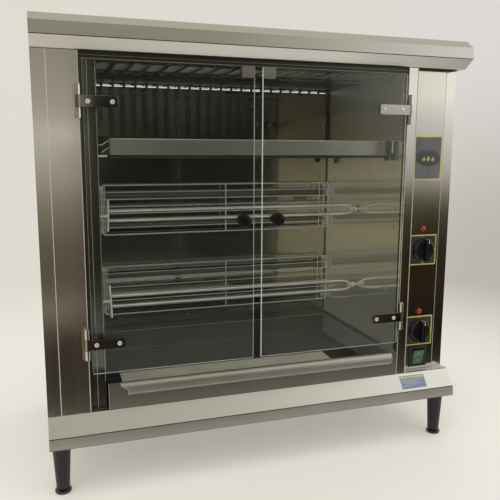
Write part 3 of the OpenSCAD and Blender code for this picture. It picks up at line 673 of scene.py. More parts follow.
# ------------------------------------------------------------------ doors
GX = {"left": (-343.0, -35.0), "right": (-19.0, 288.0)}
SCREWS = {"left": (-335.0, -294.0), "right": (236.3, 277.3)}
PULL = {"left": -62.0, "right": 5.0}
PIN = {"left": -351.0, "right": 297.0}
TIP = {"left": -284.0, "right": 227.0}
HZ = (283.0, 713.0)
for side in ("left", "right"):
    body = "door_" + side
    x0, x1 = GX[side]
    bm = bmesh.new()
    slab(bm, round_rect(x0, x1, 227, 784, 2.0, 3), front(-8), 0.005, 0.0005, 2, 0, 1)
    # rim faces: the right door's left edge gets the painted highlight, right-hand and bottom edges the half-lit
    # painted rim
    for f in bm.faces:
        if f.material_index == 1:
            c = f.calc_center_median()
            if side == "left" and c.x > x1 / 1000 - 0.0012 or side == "right" and c.x > x1 / 1000 - 0.0012:
                f.material_index = 3
            elif side == "right" and c.x < x0 / 1000 + 0.0012:
                f.material_index = 2
            elif c.z < 0.2282:
                f.material_index = 3
    finish_piece("pane_" + side, bm, ["glass", "glass_edge", "glass_rim_painted_highlight", "glass_rim_painted_half_light"], body, ("glass_" + side,), smooth=False)

    # straps: rounded tip, folded knuckle
    bm = bmesh.new()
    for z in HZ:
        a, b = min(PIN[side], TIP[side]), max(PIN[side], TIP[side])
        corners = (0, 1, 1, 0) if side == "left" else (1, 0, 0, 1)
        slab(bm, round_rect(a, b, z - 10, z + 10, 4.0, 5, corners), front(-10.4), 0.0023, 0.0004, 2)
        lathe(bm, [(0.0003, 0.0040), (0.0, 0.0036), (0.0, 0.0026), (0.020, 0.0026), (0.020, 0.0036), (0.0197, 0.0040), (0.0197, 0.0045),
                   (0.0003, 0.0045), (0.0003, 0.0040)],
              V(PIN[side], -6.5, z - 10), (0, 0, 1), 28)
    finish_piece("hinge_strap_" + side, bm, "strap" if side == "left" else "strap_r", body, ("straps_" + side,))

    # pan-head screws with a cross recess, clamp nuts behind the glass
    bm = bmesh.new()
    for s in SCREWS[side]:
        for z in HZ:
            c = V(s, -12.2, z)
            lathe(bm, [(0.0018, 0.0040), (0.0009, 0.0040), (0.0004, 0.0036), (0.0001, 0.0028), (0.0, 0.0018),
                       (0.0004, 0.0014), (0.0009, 0.0)], c, (0, 1, 0), 28, 0)
            lathe(bm, [(0.0, 0.0027), (0.0078, 0.0027)], V(s, -10.4, z), (0, 1, 0), 20, 0)
            lathe(bm, [(0.0, 0.0044), (0.0003, 0.0050), (0.0020, 0.0050), (0.0023, 0.0044), (0.0023, 0.0)], V(s, -2.9, z), (0, 1, 0), 6, 0)
            for k in range(2):
                w = (0.5, 2.4) if k else (2.4, 0.5)
                rbox(bm, s - w[0] / 2, s + w[0] / 2, -12.22, -11.9, z - w[1] / 2, z + w[1] / 2, 0.05, 1)
    px = PULL[side]
    lathe(bm, [(0.0, 0.0024), (0.0141, 0.0024)], V(px, -22, 503), (0, 1, 0), 18, 0)
    lathe(bm, [(0.0, 0.0060), (0.0014, 0.0060), (0.0021, 0.0052), (0.0021, 0.0)], V(px, -2.9, 503), (0, 1, 0), 28, 0)
    finish_piece("glass_screws_" + side, bm, ["screw_painted_light", "black"], body, ("door_screws_" + side,))

    # turned door knob
    bm = bmesh.new()
    prof = [(0.0, 0.0), (0.0, 0.0080), (0.0005, 0.0085), (0.0017, 0.0085), (0.0024, 0.0080), (0.0035, 0.0072), (0.005, 0.0067),
            (0.008, 0.0064), (0.011, 0.0065), (0.013, 0.0073), (0.015, 0.0087), (0.0165, 0.0104), (0.018, 0.0117), (0.0195, 0.0123),
            (0.0215, 0.0125), (0.0245, 0.0125), (0.0265, 0.0122), (0.028, 0.0114), (0.0288, 0.0104), (0.0294, 0.0088),
            (0.0297, 0.0065), (0.0298, 0.0058), (0.0292, 0.0052), (0.0291, 0.0030), (0.0291, 0.0)]
    lathe(bm, prof, V(px, -8.1, 503), (0, -1, 0), 48)
    finish_piece("pull_" + side, bm, "phenolic", body, ("door_knob_" + side,))

    # clip plates on the glass
    bm = bmesh.new()
    a, b = (-60, -35.3) if side == "left" else (-18.7, 6)
    for y in (-9.3, -2.9):
        slab(bm, round_rect(a, b, 763, 783.5, 3.5, 4, (1, 1, 0, 0)), front(y), 0.0012, 0.0003, 2)
    finish_piece("clip_" + side, bm, "clip", body, ("strike_" + side,))

# fixed hinge halves: plates, knuckles and the webs that join them
bm = bmesh.new()
for z in HZ:
    for px, sg in ((-351.0, -1), (297.0, 1)):
        xa, xb = sorted((px - sg * 2.2, px + sg * 8))
        slab(bm, round_rect(xa, xb, z - 28.5, z + 28.5, 1.2, 3), front(-1.4), 0.0013, 0.0003, 2)
        for k0, k1 in ((-28.5, -10.4), (10.4, 28.5)):
            h = (k1 - k0) / 1000
            lathe(bm, [(0.0004, 0.0041), (0.0, 0.0037), (0.0, 0.0026), (h, 0.0026), (h, 0.0037), (h - 0.0004, 0.0041), (h - 0.0004, 0.0045),
                       (0.0004, 0.0045), (0.0004, 0.0041)], V(px, -6.5, z + k0), (0, 0, 1), 28)
            rbox(bm, px - 2.0, px + 2.0, -5.4, -1.2, z + k0 + 0.4, z + k1 - 0.4, 0.3)
finish_piece("hinge_halves", bm, "wire", "cabinet", ("hinge_leaves",))
bm = bmesh.new()
for z in HZ:
    for px in (-351.0, 297.0):
        lathe(bm, [(0.0, 0.0), (0.0, 0.0019), (0.0006, 0.0025), (0.0576, 0.0025), (0.0577, 0.0040), (0.0580, 0.0042),
                   (0.0588, 0.0042), (0.0592, 0.0036), (0.0592, 0.0)], V(px, -6.5, z - 29), (0, 0, 1), 24)
finish_piece("hinge_pin_set", bm, "wire", "cabinet", ("hinge_pins",))


# ------------------------------------------------------------------ spits
def spit_piece(name, body, node, zc, roll):
    c, s = math.cos(math.radians(roll)), math.sin(math.radians(roll))

    def P(x, t, q=0.0):          # t across the two rods, q at right angles
        y, z = -t * s + q * c, t * c + q * s
        return V(x, 205 + y, zc + z)

    bm = bmesh.new()
    # the two rods and their loop ends running into the drive head
    for sg in (-1, 1):
        path = fillet([P(-290, sg * 11), P(250, sg * 11), P(272, sg * 10.0), P(284, sg * 3.6), P(292, sg * 2.4)], 0.016, 7)
        rad = [0.0040 if p.x < 0.262 else 0.0037 for p in path]
        sweep(bm, path, rad, 16)
    # cross bar with a weld bead at each rod
    bar = fillet([P(-288, -34.5), P(-288, 34.5)], 0.002)
    sweep(bm, bar, 0.0030, 14)
    for sg in (-1, 1):
        lathe(bm, [(-0.0035, 0.0), (-0.0030, 0.0036), (-0.0012, 0.0052), (0.0012, 0.0052), (0.0030, 0.0036), (0.0035, 0.0)],
              P(-288, sg * 11), (1, 0, 0), 20)
    # bearing stub and drive end: hub, star collar, shaft
    lathe(bm, [(0.0, 0.0), (0.0, 0.0042), (0.0008, 0.0050), (0.0400, 0.0050), (0.0405, 0.0045), (0.0420, 0.0045), (0.0420, 0.0)],
          V(-331, 205, zc), (1, 0, 0), 24)
    lathe(bm, [(0.0, 0.0), (0.0, 0.0052), (0.0008, 0.0060), (0.0080, 0.0060), (0.0095, 0.0046), (0.0120, 0.0044), (0.0140, 0.0060),
               (0.0230, 0.0062), (0.0238, 0.0060), (0.0520, 0.0060), (0.0528, 0.0052), (0.0528, 0.0)],
          V(277, 205, zc), (1, 0, 0), 28)
    for k in range(6):
        a = math.pi * k / 3 + math.radians(roll)
        d = Vector((0.25, math.cos(a) * 0.97, math.sin(a) * 0.97)).normalized()
        o3 = V(289.5, 205, zc)
        sweep(bm, [o3 + d * 0.0030, o3 + d * 0.0078], [0.0017, 0.0013], 8)
    finish_piece(name, bm, "spit_wire", body, (node,), angle=0.75)


spit_piece("rod_pair_upper", "spit_hi", "spit_upper", 494.5, 14)
spit_piece("rod_pair_lower", "spit_lo", "spit_lower", 309.5, -22)


# ------------------------------------------------------------------ wire guards
def guard_piece(name, node, zc):
    bm = bmesh.new()
    zs = [zc - 3 + (k - 3.5) * 16.6 for k in range(8)]
    r = 0.0016
    # frame wire: top and bottom run into the uprights with rounded corners
    loop = fillet([V(-288, 354, zs[0]), V(292, 354, zs[0]), V(292, 354, zs[-1]), V(-288, 354, zs[-1])], 0.009, 6, True)
    sweep(bm, loop, r, 10, True)
    for z in zs[1:-1]:
        sweep(bm, [V(-290, 356.6, z), V(294, 356.6, z)], 0.0012, 10)
    sweep(bm, [V(12, 351.9, zc - 61), V(12, 351.9, zc + 55.5)], r, 10)
    # side returns: short wires run back to the wall at each end
    for x in (-288, 292):
        for z in (zc - 55, zc + 46):
            sweep(bm, [V(x, 354, z), V(x, 379.6, z)], 0.0017, 10)
        for xo in ((-4, -8) if x < 0 else (-13, -26)):
            sweep(bm, [V(x + (-xo if x < 0 else xo), 354.6, zs[0]), V(x + (-xo if x < 0 else xo), 354.6, zs[-1])], 0.0011, 8)
        for z in (zc - 55, zc + 46):
            lathe(bm, [(0.0, 0.0), (0.0, 0.0050), (0.0006, 0.0056), (0.0014, 0.0056), (0.0020, 0.0048), (0.0020, 0.0)], V(x, 377.6, z), (0, 1, 0), 20)
    finish_piece(name, bm, "guard_wire", "cabinet", (node,), angle=0.9)


guard_piece("wire_guard_upper", "guard_upper", 494.5)
guard_piece("wire_guard_lower", "guard_lower", 301.5)

# heater tubes: dark quartz, thicker at the ends
bm = bmesh.new()
for zc in (494.5, 301.5):
    for s in (-40, 31):
        lathe(bm, [(0.0, 0.0), (0.0, 0.0078), (0.0006, 0.0085), (0.0140, 0.0085), (0.0142, 0.0062), (0.570, 0.0062), (0.5702, 0.0085),
                   (0.5834, 0.0085), (0.584, 0.0078), (0.584, 0.0)], V(-299, 367, zc + s), (1, 0, 0), 24)
finish_piece("quartz_tubes", bm, "quartz", "cabinet", ("heater_tubes",))

# ------------------------------------------------------------------ control column
CX = 362.0


def knob_piece(name, body, node, zc):
    bm = bmesh.new()
    o3 = V(CX, 20.3, zc)
    lathe(bm, [(0.0, 0.0), (0.0, 0.0252), (0.0008, 0.0260), (0.0026, 0.0260), (0.0040, 0.0254), (0.0050, 0.0243), (0.0058, 0.0232),
               (0.0074, 0.0222), (0.0084, 0.0214), (0.0090, 0.0202), (0.0090, 0.0)], o3, (0, -1, 0), 96, 0, (24, 0.0007, 1, 5))
    # grip: a waisted bar with eased rims
    out = []
    for k in range(25):
        t = -1 + 2 * k / 24
        out.append((CX + 4.1 + 0.8 * t * t, zc + 1.5 + 23.2 * t))
    for k in range(25):
        t = 1 - 2 * k / 24
        out.append((CX - 4.1 - 0.8 * t * t, zc + 1.5 + 23.2 * t))
    slab(bm, out, front(-2.0), 0.0175, 0.0016, 4, 0)
    # white line down the grip and over its front end: a painted highlight on the grip's top edge, drawn like a pointer
    # line
    rbox(bm, CX - 0.7, CX + 0.7, -2.15, -1.6, zc + 16.5, zc + 22.6, 0.1, 1)
    rbox(bm, CX - 0.7, CX + 0.7, -1.4, 10.5, zc + 24.3, zc + 24.8, 0.1, 1)
    lathe(bm, [(0.0, 0.0030), (0.030, 0.0030)], V(CX, 16, zc), (0, 1, 0), 20)
    finish_piece(name, bm, ["knob", "painted_grip_highlight"], body, (node,))


knob_piece("dial_upper", "regulator_knob_hi", "knob_upper", 420.0)
knob_piece("dial_lower", "regulator_knob_lo", "knob_lower", 239.0)

# printed plates: raised border, dial marks, a plain oval emblem
bm = bmesh.new()


def plate(x0, x1, z0, z1, field):
    slab(bm, round_rect(x0, x1, z0, z1, 1.5, 3), front(20.95), 0.00095, 0.0002, 1, 1)
    slab(bm, round_rect(x0 + 2.4, x1 - 2.4, z0 + 2.4, z1 - 2.4, 0.8, 2), front(20.8), 0.0004, 0.0001, 1, field)


plate(330, 397, 571, 663, 2)
for zc in (420.0, 239.0):
    plate(329, 395, zc - 33, zc + 33, 0)
    for deg, r1, w in ((94, 29.4, 0.7), (4, 30.2, 0.6), (-4, 30.2, 0.6), (-90, 29.6, 1.6), (180, 29.0, 0.5), (-45, 29.2, 0.45), (-135, 29.2, 0.45), (45, 29.2, 0.45)):
        a = math.radians(deg)
        r0 = 27.2
        ca, sa = math.cos(a), math.sin(a)
        pts = [(CX + r0 * ca - w * sa, zc + r0 * sa + w * ca), (CX + r0 * ca + w * sa, zc + r0 * sa - w * ca),
               (CX + r1 * ca + w * sa, zc + r1 * sa - w * ca), (CX + r1 * ca - w * sa, zc + r1 * sa + w * ca)]
        slab(bm, pts, front(20.68), 0.0003, 0.00003, 1, 1)
ell = lambda cx, cz, a, b, n=56: [(cx + a * math.cos(2 * math.pi * k / n), cz + b * math.sin(2 * math.pi * k / n)) for k in range(n)]
slab(bm, ell(363.5, 617.5, 30.0, 17.2), front(20.1), 0.0011, 0.0006, 3, 3)
slab(bm, ell(364.3, 616.7, 27.0, 14.6), front(19.9), 0.0006, 0.0004, 2, 4)
for dx, h in ((-11, 7.0), (0, 9.5), (11, 7.0)):
    fl = [(363.5 + dx - 2.8, 611.5), (363.5 + dx + 2.8, 611.5), (363.5 + dx + 3.7, 615.3), (363.5 + dx + 2.2, 611.5 + h * 0.8),
          (363.5 + dx + 0.5, 611.5 + h * 1.25), (363.5 + dx - 0.3, 611.5 + h * 0.85), (363.5 + dx - 2.0, 611.5 + h * 0.7), (363.5 + dx - 3.7, 615.0)]
    slab(bm, fl, front(19.7), 0.0003, 0.0001, 1, 5)
finish_piece("scale_plates", bm, ["plate", "yellow", "badge_grey", "badge_rim", "badge_blue", "amber"], "cabinet",
             ("panel_plates",), smooth=False)

# pilot lamps: black collar, faceted red lens
bm = bmesh.new()
for z in (466.0, 283.0):
    o3 = V(360, 21.9, z)
    lathe(bm, [(0.0, 0.0), (0.0, 0.0062), (0.0006, 0.0065), (0.0014, 0.0065), (0.0018, 0.0060), (0.0019, 0.0054), (0.0019, 0.0)], o3, (0, -1, 0), 32, 1)
    lathe(bm, [(0.0015, 0.0), (0.0015, 0.0054), (0.0024, 0.0053), (0.0030, 0.0045), (0.0033, 0.0030), (0.0034, 0.0020), (0.0030, 0.0016), (0.0030, 0.0)], o3, (0, -1, 0), 12, 0)
    lathe(bm, [(0.0030, 0.0), (0.0030, 0.0015), (0.0034, 0.0014), (0.0035, 0.0)], o3, (0, -1, 0), 12, 1)
    lathe(bm, [(0.0, 0.0), (0.0, 0.0038), (0.020, 0.0038), (0.021, 0.0030), (0.021, 0.0)], V(360, 22, z), (0, 1, 0), 20, 1)
finish_piece("pilot_lamps", bm, ["red", "red_dark"], "cabinet", ("indicator_lamps",), angle=0.25)

# rocker switch: bezel with a well, green key with its two marks
bm = bmesh.new()
for x0, x1, z0, z1 in ((340, 348.6, 153.5, 202.5), (375.4, 384, 153.5, 202.5), (348.6, 375.4, 196.5, 202.5), (348.6, 375.4, 153.5, 159.5)):
    rbox(bm, x0, x1, 19.5, 21.9, z0, z1, 0.5)
rbox(bm, 344.6, 348.6, 21.9, 48, 157.6, 198.4, 0.4)
rbox(bm, 375.4, 379.4, 21.9, 48, 157.6, 198.4, 0.4)
rbox(bm, 348.6, 375.4, 21.9, 48, 196.5, 198.4, 0.4)
rbox(bm, 348.6, 375.4, 21.9, 48, 157.6, 159.5, 0.4)
rbox(bm, 348.6, 375.4, 34.2, 48, 159.4, 196.6, 0.4)
for zz in (161.5, 194.5):
    rbox(bm, 346, 378, 19.2, 19.6, zz - 5.2 if zz < 178 else zz + 2.4, zz - 3.4 if zz < 178 else zz + 4.2, 0.1)
finish_piece("switch_body", bm, "black", "cabinet", ("rocker_housing",))
bm = bmesh.new()
prof = fillet([Vector((0, 26.4, 163.2)), Vector((0, 21.0, 160.5)), Vector((0, 19.4, 168)), Vector((0, 19.0, 178)), Vector((0, 16.8, 187)),
               Vector((0, 15.1, 193.9)), Vector((0, 22.8, 193.9)), Vector((0, 26.4, 191))], 0.9, 4, True)
pp = [(p.y, p.z) for p in prof]
slab(bm, pp, lambda u, v, w: V(349.1 + w, u, v), 0.0258, 0.0006, 2, 0)
# marks: a bar above, a ring below
slab(bm, [(361.2, 184.6), (362.8, 184.6), (362.8, 190.4), (361.2, 190.4)], lambda u, v, w: V(u, 16.8 - (v - 187) * 0.246 - 0.22 + w, v), 0.0004, 0.00005, 1, 1)
ring_pts = [V(362 + 3.0 * math.cos(2 * math.pi * k / 28), 19.22 - 0.12, 169.5 + 3.4 * math.sin(2 * math.pi * k / 28)) for k in range(28)]
sweep(bm, ring_pts, 0.00042, 8, True, 1)
lathe(bm, [(0.0, 0.0), (0.0, 0.0015), (0.031, 0.0015), (0.031, 0.0)], V(346.5, 25, 178), (1, 0, 0), 14, 0)
finish_piece("switch_key", bm, ["green", "mark_green"], "rocker_key", ("rocker",))

# rating plate on the apron's slope: blue-grey foil, yellow head strip, three pale rows
bm = bmesh.new()
dy, dz = (-22.3 + 4.1), (-27.2 + 4.8)
ln = math.hypot(dy, dz)
ty, tz = dy / ln, dz / ln
ny, nz = tz, -ty
if nz < 0:
    ny, nz = -ny, -nz
slope_top = (-4.1, 152 - 4.8)


def on_slope(lift):
    return lambda u, v, w: V(u, slope_top[0] + ty * v + ny * (lift + w), slope_top[1] + tz * v + nz * (lift + w))


slab(bm, round_rect(301, 361, 0.2, ln - 0.2, 1.2, 3), on_slope(0.02), 0.00030, 0.00008, 1, 0)
slab(bm, [(303, 1.8), (359, 1.8), (359, 6.2), (303, 6.2)], on_slope(0.30), 0.00008, 0.00002, 1, 1)
for v0, a, b in ((9.4, 304, 356), (13.4, 304, 345), (17.4, 312, 352), (21.6, 304, 336)):
    slab(bm, [(a, v0), (b, v0), (b, v0 + 1.5), (a, v0 + 1.5)], on_slope(0.30), 0.00006, 0.00002, 1, 2)
finish_piece("rating_plate", bm, ["foil", "yellow_soft", "foil_light"], "cabinet", ("rating_label",), smooth=False)

# ------------------------------------------------------------------ trays
# drip tray: pan walls, floor, folded flanges and the wide front plate, each its own sheet with its own copy of the
# steel, lighter or darker as painted light and shade
bm = bmesh.new()
rbox(bm, -290.6, 274.6, 0.7, 331, 156.8, 158.0, 0.3, 0)                       # floor
rbox(bm, -291.2, -290, 0.2, 331.2, 157.4, 203.6, 0.3, 1)
rbox(bm, 274, 275.2, 0.2, 331.2, 157.4, 203.6, 0.3, 2)
rbox(bm, -290.6, 274.6, 330, 331.2, 157.4, 203.6, 0.3, 3)
rbox(bm, -291, 275, 0.1, 1.2, 157.4, 203.9, 0.2, 1)
slab(bm, [(-318, 0.3), (-290.4, 0.3), (-290.4, 376), (-318, 376)], lambda u, v, w: V(u, v, 202.8 + w), 0.0012, 0.0003, 2, 4)
slab(bm, [(274.4, 56), (294.8, 56), (294.8, 376), (274.4, 376)], lambda u, v, w: V(u, v, 202.8 + w), 0.0012, 0.0003, 2, 4)
slab(bm, [(-290.4, 330.6), (274.4, 330.6), (274.4, 376), (-290.4, 376)], lambda u, v, w: V(u, v, 202.8 + w), 0.0012, 0.0003, 2, 4)
slab(bm, [(-290, 1.2), (140, 1.2), (140, 50), (-290, 50)], lambda u, v, w: V(u, v, 202.8 + w), 0.0012, 0.0003, 2, 5)
# front plate with rounded upper corners
slab(bm, round_rect(-316, 294.8, 153, 204, 2.5, 3, (0, 0, 1, 1)), front(-1.2), 0.0012, 0.0004, 2, 6)
finish_piece("grease_tray", bm, ["pan_floor", "pan_wall", "pan_side_wall_painted_light", "pan_back", "painted_shade_flange", "painted_highlight_ledge", "tray_front"], "drip_tray_unit",
             ("drip_tray",))

# painted highlights: bright rods along the folded rims of the tray
bm = bmesh.new()
for a, b in (((-290, 330.4, 204.0), (274, 330.4, 204.0)), ((274.6, 56, 204.0), (274.6, 330.4, 204.0))):
    sweep(bm, [V(*a), V(*b)], 0.0004, 6)
for a, b in (((-290, 329.6, 158.3), (273.6, 329.6, 158.3)), ((273.6, 3, 158.3), (273.6, 329.6, 158.3)), ((-289.6, 3, 158.3), (-289.6, 329.6, 158.3)),
             ((273.7, 329.7, 158.3), (273.7, 329.7, 203))):
    sweep(bm, [V(*a), V(*b)], 0.00055, 6, mat=1)
sweep(bm, [V(-315.7, -1.25, 154), V(-315.7, -1.25, 203.2)], 0.00035, 6)
finish_piece("grease_tray_rims", bm, ["edge_bright", "painted_rim_highlight"], "drip_tray_unit")

# lip handle: rolled sheet, its left end cut in an S, its right end rounded
bm = bmesh.new()
path = fillet([Vector((0, -1.3, 205.0)), Vector((0, -10, 205.0)), Vector((0, -15, 201)), Vector((0, -16.6, 195)), Vector((0, -16.6, 186)), Vector((0, -13.4, 182.4))], 2.6, 5)
path = [(p.y, p.z) for p in path]
tot = [0.0]
for a, b in zip(path, path[1:]):
    tot.append(tot[-1] + math.hypot(b[0] - a[0], b[1] - a[1]))


def lip_at(s, off=0.0):
    s = max(0.0, min(tot[-1], s))
    for i in range(len(path) - 1):
        if s <= tot[i + 1] or i == len(path) - 2:
            t = (s - tot[i]) / max(1e-9, tot[i + 1] - tot[i])
            y = path[i][0] + (path[i + 1][0] - path[i][0]) * t
            z = path[i][1] + (path[i + 1][1] - path[i][1]) * t
            ex, ez = path[i + 1][0] - path[i][0], path[i + 1][1] - path[i][1]
            le = math.hypot(ex, ez)
            return y - ez / le * off, z + ex / le * off
    return path[-1]


W = tot[-1]
cols = 26
left_edge = []
right_edge = []
for k in range(cols + 1):
    s = W * k / cols
    q = s / W
    left_edge.append(-295 + 14.0 / (1 + math.exp(-(q - 0.52) * 16)))
    right_edge.append(275 - (0 if q < 0.62 else 9.5 * (1 - math.sqrt(max(0.0, 1 - ((q - 0.62) / 0.38) ** 2)))))
grid = []
for off in (0.0, 0.9):
    rows_ = []
    for k in range(cols + 1):
        y, z = lip_at(W * k / cols, off)
        xs = [left_edge[k] + (right_edge[k] - left_edge[k]) * j / 8 for j in range(9)]
        rows_.append([bm.verts.new(V(x, y, z)) for x in xs])
    grid.append(rows_)
for s in (0, 1):
    for k in range(cols):
        for j in range(8):
            bm.faces.new((grid[s][k][j], grid[s][k][j + 1], grid[s][k + 1][j + 1], grid[s][k + 1][j]))
# side and end faces of the lip take the painted-highlight material
for k in range(cols):
    for j in (0, 8):
        bm.faces.new((grid[0][k][j], grid[0][k + 1][j], grid[1][k + 1][j], grid[1][k][j])).material_index = 1
for k in (0, cols):
    for j in range(8):
        bm.faces.new((grid[0][k][j], grid[0][k][j + 1], grid[1][k][j + 1], grid[1][k][j])).material_index = 1
finish_piece("pull_lip", bm, ["lip_steel", "edge_bright"], "drip_tray_unit", ("drip_tray_handle",))
# painted highlight lines along the lip's top and lower edges
bm = bmesh.new()
sweep(bm, [V(-294, -10.2, 205.25), V(274, -10.2, 205.25)], 0.00035, 6)
low = [lip_at(W * k / cols, -0.1) for k in range(cols + 1)]
sweep(bm, [V(left_edge[k] + 0.2, low[k][0], low[k][1]) for k in range(4, cols + 1)], 0.0004, 6)
finish_piece("pull_lip_rim", bm, "edge_bright", "drip_tray_unit")

# upper tray: front face with rounded corners, rolled rim all round
bm = bmesh.new()
rbox(bm, -294, 293, 61.2, 329, 622.4, 623.6, 0.3, 1)
slab(bm, round_rect(-295, 294, 622.4, 652, 4.5, 5, (0.6, 0.6, 1, 1)), front(60), 0.0012, 0.0004, 2, 0)
slab(bm, round_rect(-295, 294, 622.4, 652, 4.5, 5, (0.6, 0.6, 1, 1)), front(328.8), 0.0012, 0.0004, 2, 1)
for x in (-295, 292.8):
    slab(bm, [(61, 622.6), (329, 622.6), (329, 651.6), (61, 651.6)], (lambda xx: lambda u, v, w: V(xx + w, u, v))(x), 0.0012, 0.0003, 2, 1)
rim = fillet([V(-294, 60.6, 651.7), V(293, 60.6, 651.7), V(293, 329.4, 651.7), V(-294, 329.4, 651.7)], 0.003, 3, True)
sweep(bm, rim, 0.0008, 8, True, 1)
finish_piece("shelf_tray", bm, ["shelf_face", "tray"], "cabinet", ("upper_tray",))

# chamber corners: dark strips as painted shade in the corner joints, lighter strips as painted highlights on their
# folded edges
bm = bmesh.new()
rbox(bm, 293.2, 297.6, 376.4, 379.6, 640, 784, 0.5, 0)
rbox(bm, 296.2, 297.6, 378.4, 379.6, 206, 640, 0.3, 0)
rbox(bm, -318.6, -314.2, 376.4, 379.6, 206, 784, 0.5, 0)
rbox(bm, 290.9, 292.4, 378.6, 379.6, 640, 784, 0.4, 1)
rbox(bm, 294.6, 295.6, 378.8, 379.6, 206, 640, 0.3, 1)
for z0, z1 in ((656, 667), (690, 701)):
    rbox(bm, 283.0, 290.0, 377.4, 379.6, z0, z1, 0.5, 1)
finish_piece("corner_joints", bm, ["gap_dark", "edge_soft"], "cabinet")

# painted highlights: bright rods along the folded edges of posts, glass frame and header
bm = bmesh.new()
for x, y in ((-401.0, -0.25), (-349.2, -0.25), (295.7, -0.25), (316.6, -0.25)):
    sweep(bm, [V(x, y, 153), V(x, y, 797)], 0.0007, 8)
for x, y in ((399.8, 21.9), (400.6, 24.2)):
    sweep(bm, [V(x, y, 153), V(x, y, 797)], 0.0005, 6)
finish_piece("fold_edges", bm, "edge_bright", "cabinet")
bm = bmesh.new()
for y, z in ((3.0, 785.4), (1.2, 790.8)):
    sweep(bm, [V(-348, y, z), V(294.6, y, z)], 0.00045, 6)
sweep(bm, [V(-348, 12.0, 785.0), V(294.6, 12.0, 785.0)], 0.0004, 6)
finish_piece("header_lines", bm, "edge_soft", "cabinet")

# facing of the roof's slanted lip: light satin sheet with painted light, a colour ramp that darkens towards the right
# as painted shade, and faint painted emission
lm, lt = new_mat("lip_facing")
sx = N(lt, "ShaderNodeSeparateXYZ")
L(lt, obj_coords(lt), sx.inputs[0])
lip_painted_shade_tone = ramp(lt, remap(lt, sx.outputs["X"], -0.42, 0.42, 0.0, 1.0), [(0.0, (0.66, 0.63, 0.58)), (0.35, (0.86, 0.84, 0.78)), (0.65, (0.84, 0.82, 0.76)), (1.0, (0.42, 0.41, 0.38))])
lgr = noise(lt, obj_coords(lt, (2.0, 700.0, 700.0)), 1.0, 3.0, 0.6)
lip_painted_shade_tone = mix_color(lt, remap(lt, lgr, 0.3, 0.7, 0.0, 0.08), lip_painted_shade_tone, (0.40, 0.39, 0.36))
lp_, lo_ = principled(lt, Base_Color=lip_painted_shade_tone, Metallic=0.45, Roughness=remap(lt, lgr, 0.3, 0.7, 0.36, 0.46), Normal=bump(lt, lgr, 0.03, 0.0002))
# painted emission in the facing's own colour
L(lt, lip_painted_shade_tone, lp_.inputs["Emission Color"])
lp_.inputs["Emission Strength"].default_value = 0.07
M["lip_facing"] = lm
bm = bmesh.new()
slab(bm, [(-29.5, 815.85), (-29.36, 815.95), (-6.2, 798.85), (-6.4, 798.62)], lambda u, v, w: V(-423.6 + w, u, v), 0.8472, 0.00003, 1, 0)
finish_piece("roof_lip_facing", bm, "lip_facing", "cabinet")

# painted shadow lines: thin dark rods along the seams of the folded roof and plinth
bm = bmesh.new()
for y, z, r in ((-28.95, 816.2, 0.00100), (-25.35, 119.6, 0.00105), (0.8, 151.9, 0.0009), (-27.2, 99.9, 0.0008)):
    sweep(bm, [V(-424.2, y, z), V(424.2, y, z)], r, 10)
finish_piece("seam_lines", bm, "gap_dark", "cabinet")

# jamb between the left post and the chamber: dark flange with two folded lines, drawn as lighter rods that are painted
# highlights
bm = bmesh.new()
rbox(bm, -347.6, -319.4, 10.7, 11.9, 153, 783.5, 0.4, 0)
rbox(bm, -341.4, -338.6, 9.8, 10.9, 153, 783.5, 0.4, 0)
sweep(bm, [V(-334.5, 10.6, 154), V(-334.5, 10.6, 783)], 0.0006, 8, mat=1)
sweep(bm, [V(-320.2, 10.7, 206), V(-320.2, 10.7, 783)], 0.0005, 8, mat=1)
rbox(bm, 294.0, 296.9, 12.6, 14.0, 206, 783.5, 0.4, 0)
finish_piece("jamb_strip", bm, ["jamb", "edge_soft"], "cabinet")

# emissive cards behind the back-wall slots and above the ceiling, painted light standing in for the light that reaches
# the slots from above and behind; a dark backing strip behind the slot card and a darker sheet over the rear of the
# ceiling
bm = bmesh.new()
rbox(bm, -312, 290, 383.6, 384.6, 772, 778.6, 0.2, 0)
rbox(bm, -313, 291, 384.7, 385.5, 771, 779.6, 0.2, 3)
rbox(bm, -318.5, 297.5, 225, 374, 784.0, 784.9, 0.2, 2)
slab(bm, [(-318, 50), (296, 50), (296, 190), (-318, 190)], lambda u, v, w: V(u, v, 790.0 + w), 0.0006, 0.0002, 1, 1)
finish_piece("vent_backing", bm, ["slot_card_painted_light", "slot_card_painted_dim_light", "ceiling_rear", "gap_dark"], "cabinet")

# upper tray hangers: bent hooks in the painted-highlight material
bm = bmesh.new()
for x, d in ((-316.5, 1), (295.5, -1)):
    if d > 0:
        sweep(bm, [V(x, 44.8, 620.5), V(x + 15, 44.8, 620.5)], 0.0021, 10)
        sweep(bm, fillet([V(x, 45.2, 640.0), V(x + 7, 45.2, 640.5), V(x + 18.5, 45.2, 648.0)], 0.003, 4), 0.0008, 8)
        sweep(bm, [V(x + 6, 45.2, 627.0), V(x + 18.5, 45.2, 635.0)], 0.0007, 8)
    else:
        sweep(bm, [V(290.0, 45.2, 627.5), V(290.0, 45.2, 650.0)], 0.0013, 8)
        sweep(bm, [V(288.0, 45.2, 652.8), V(296.4, 45.2, 652.8)], 0.0009, 8)
finish_piece("shelf_hooks", bm, "edge_bright", "cabinet", angle=0.9)

# strip between the control column and the plinth
bm = bmesh.new()
rbox(bm, 318, 399.5, 18.6, 21.6, 152.4, 157.5, 0.6)
finish_piece("column_foot_strip", bm, "inner_z", "cabinet")

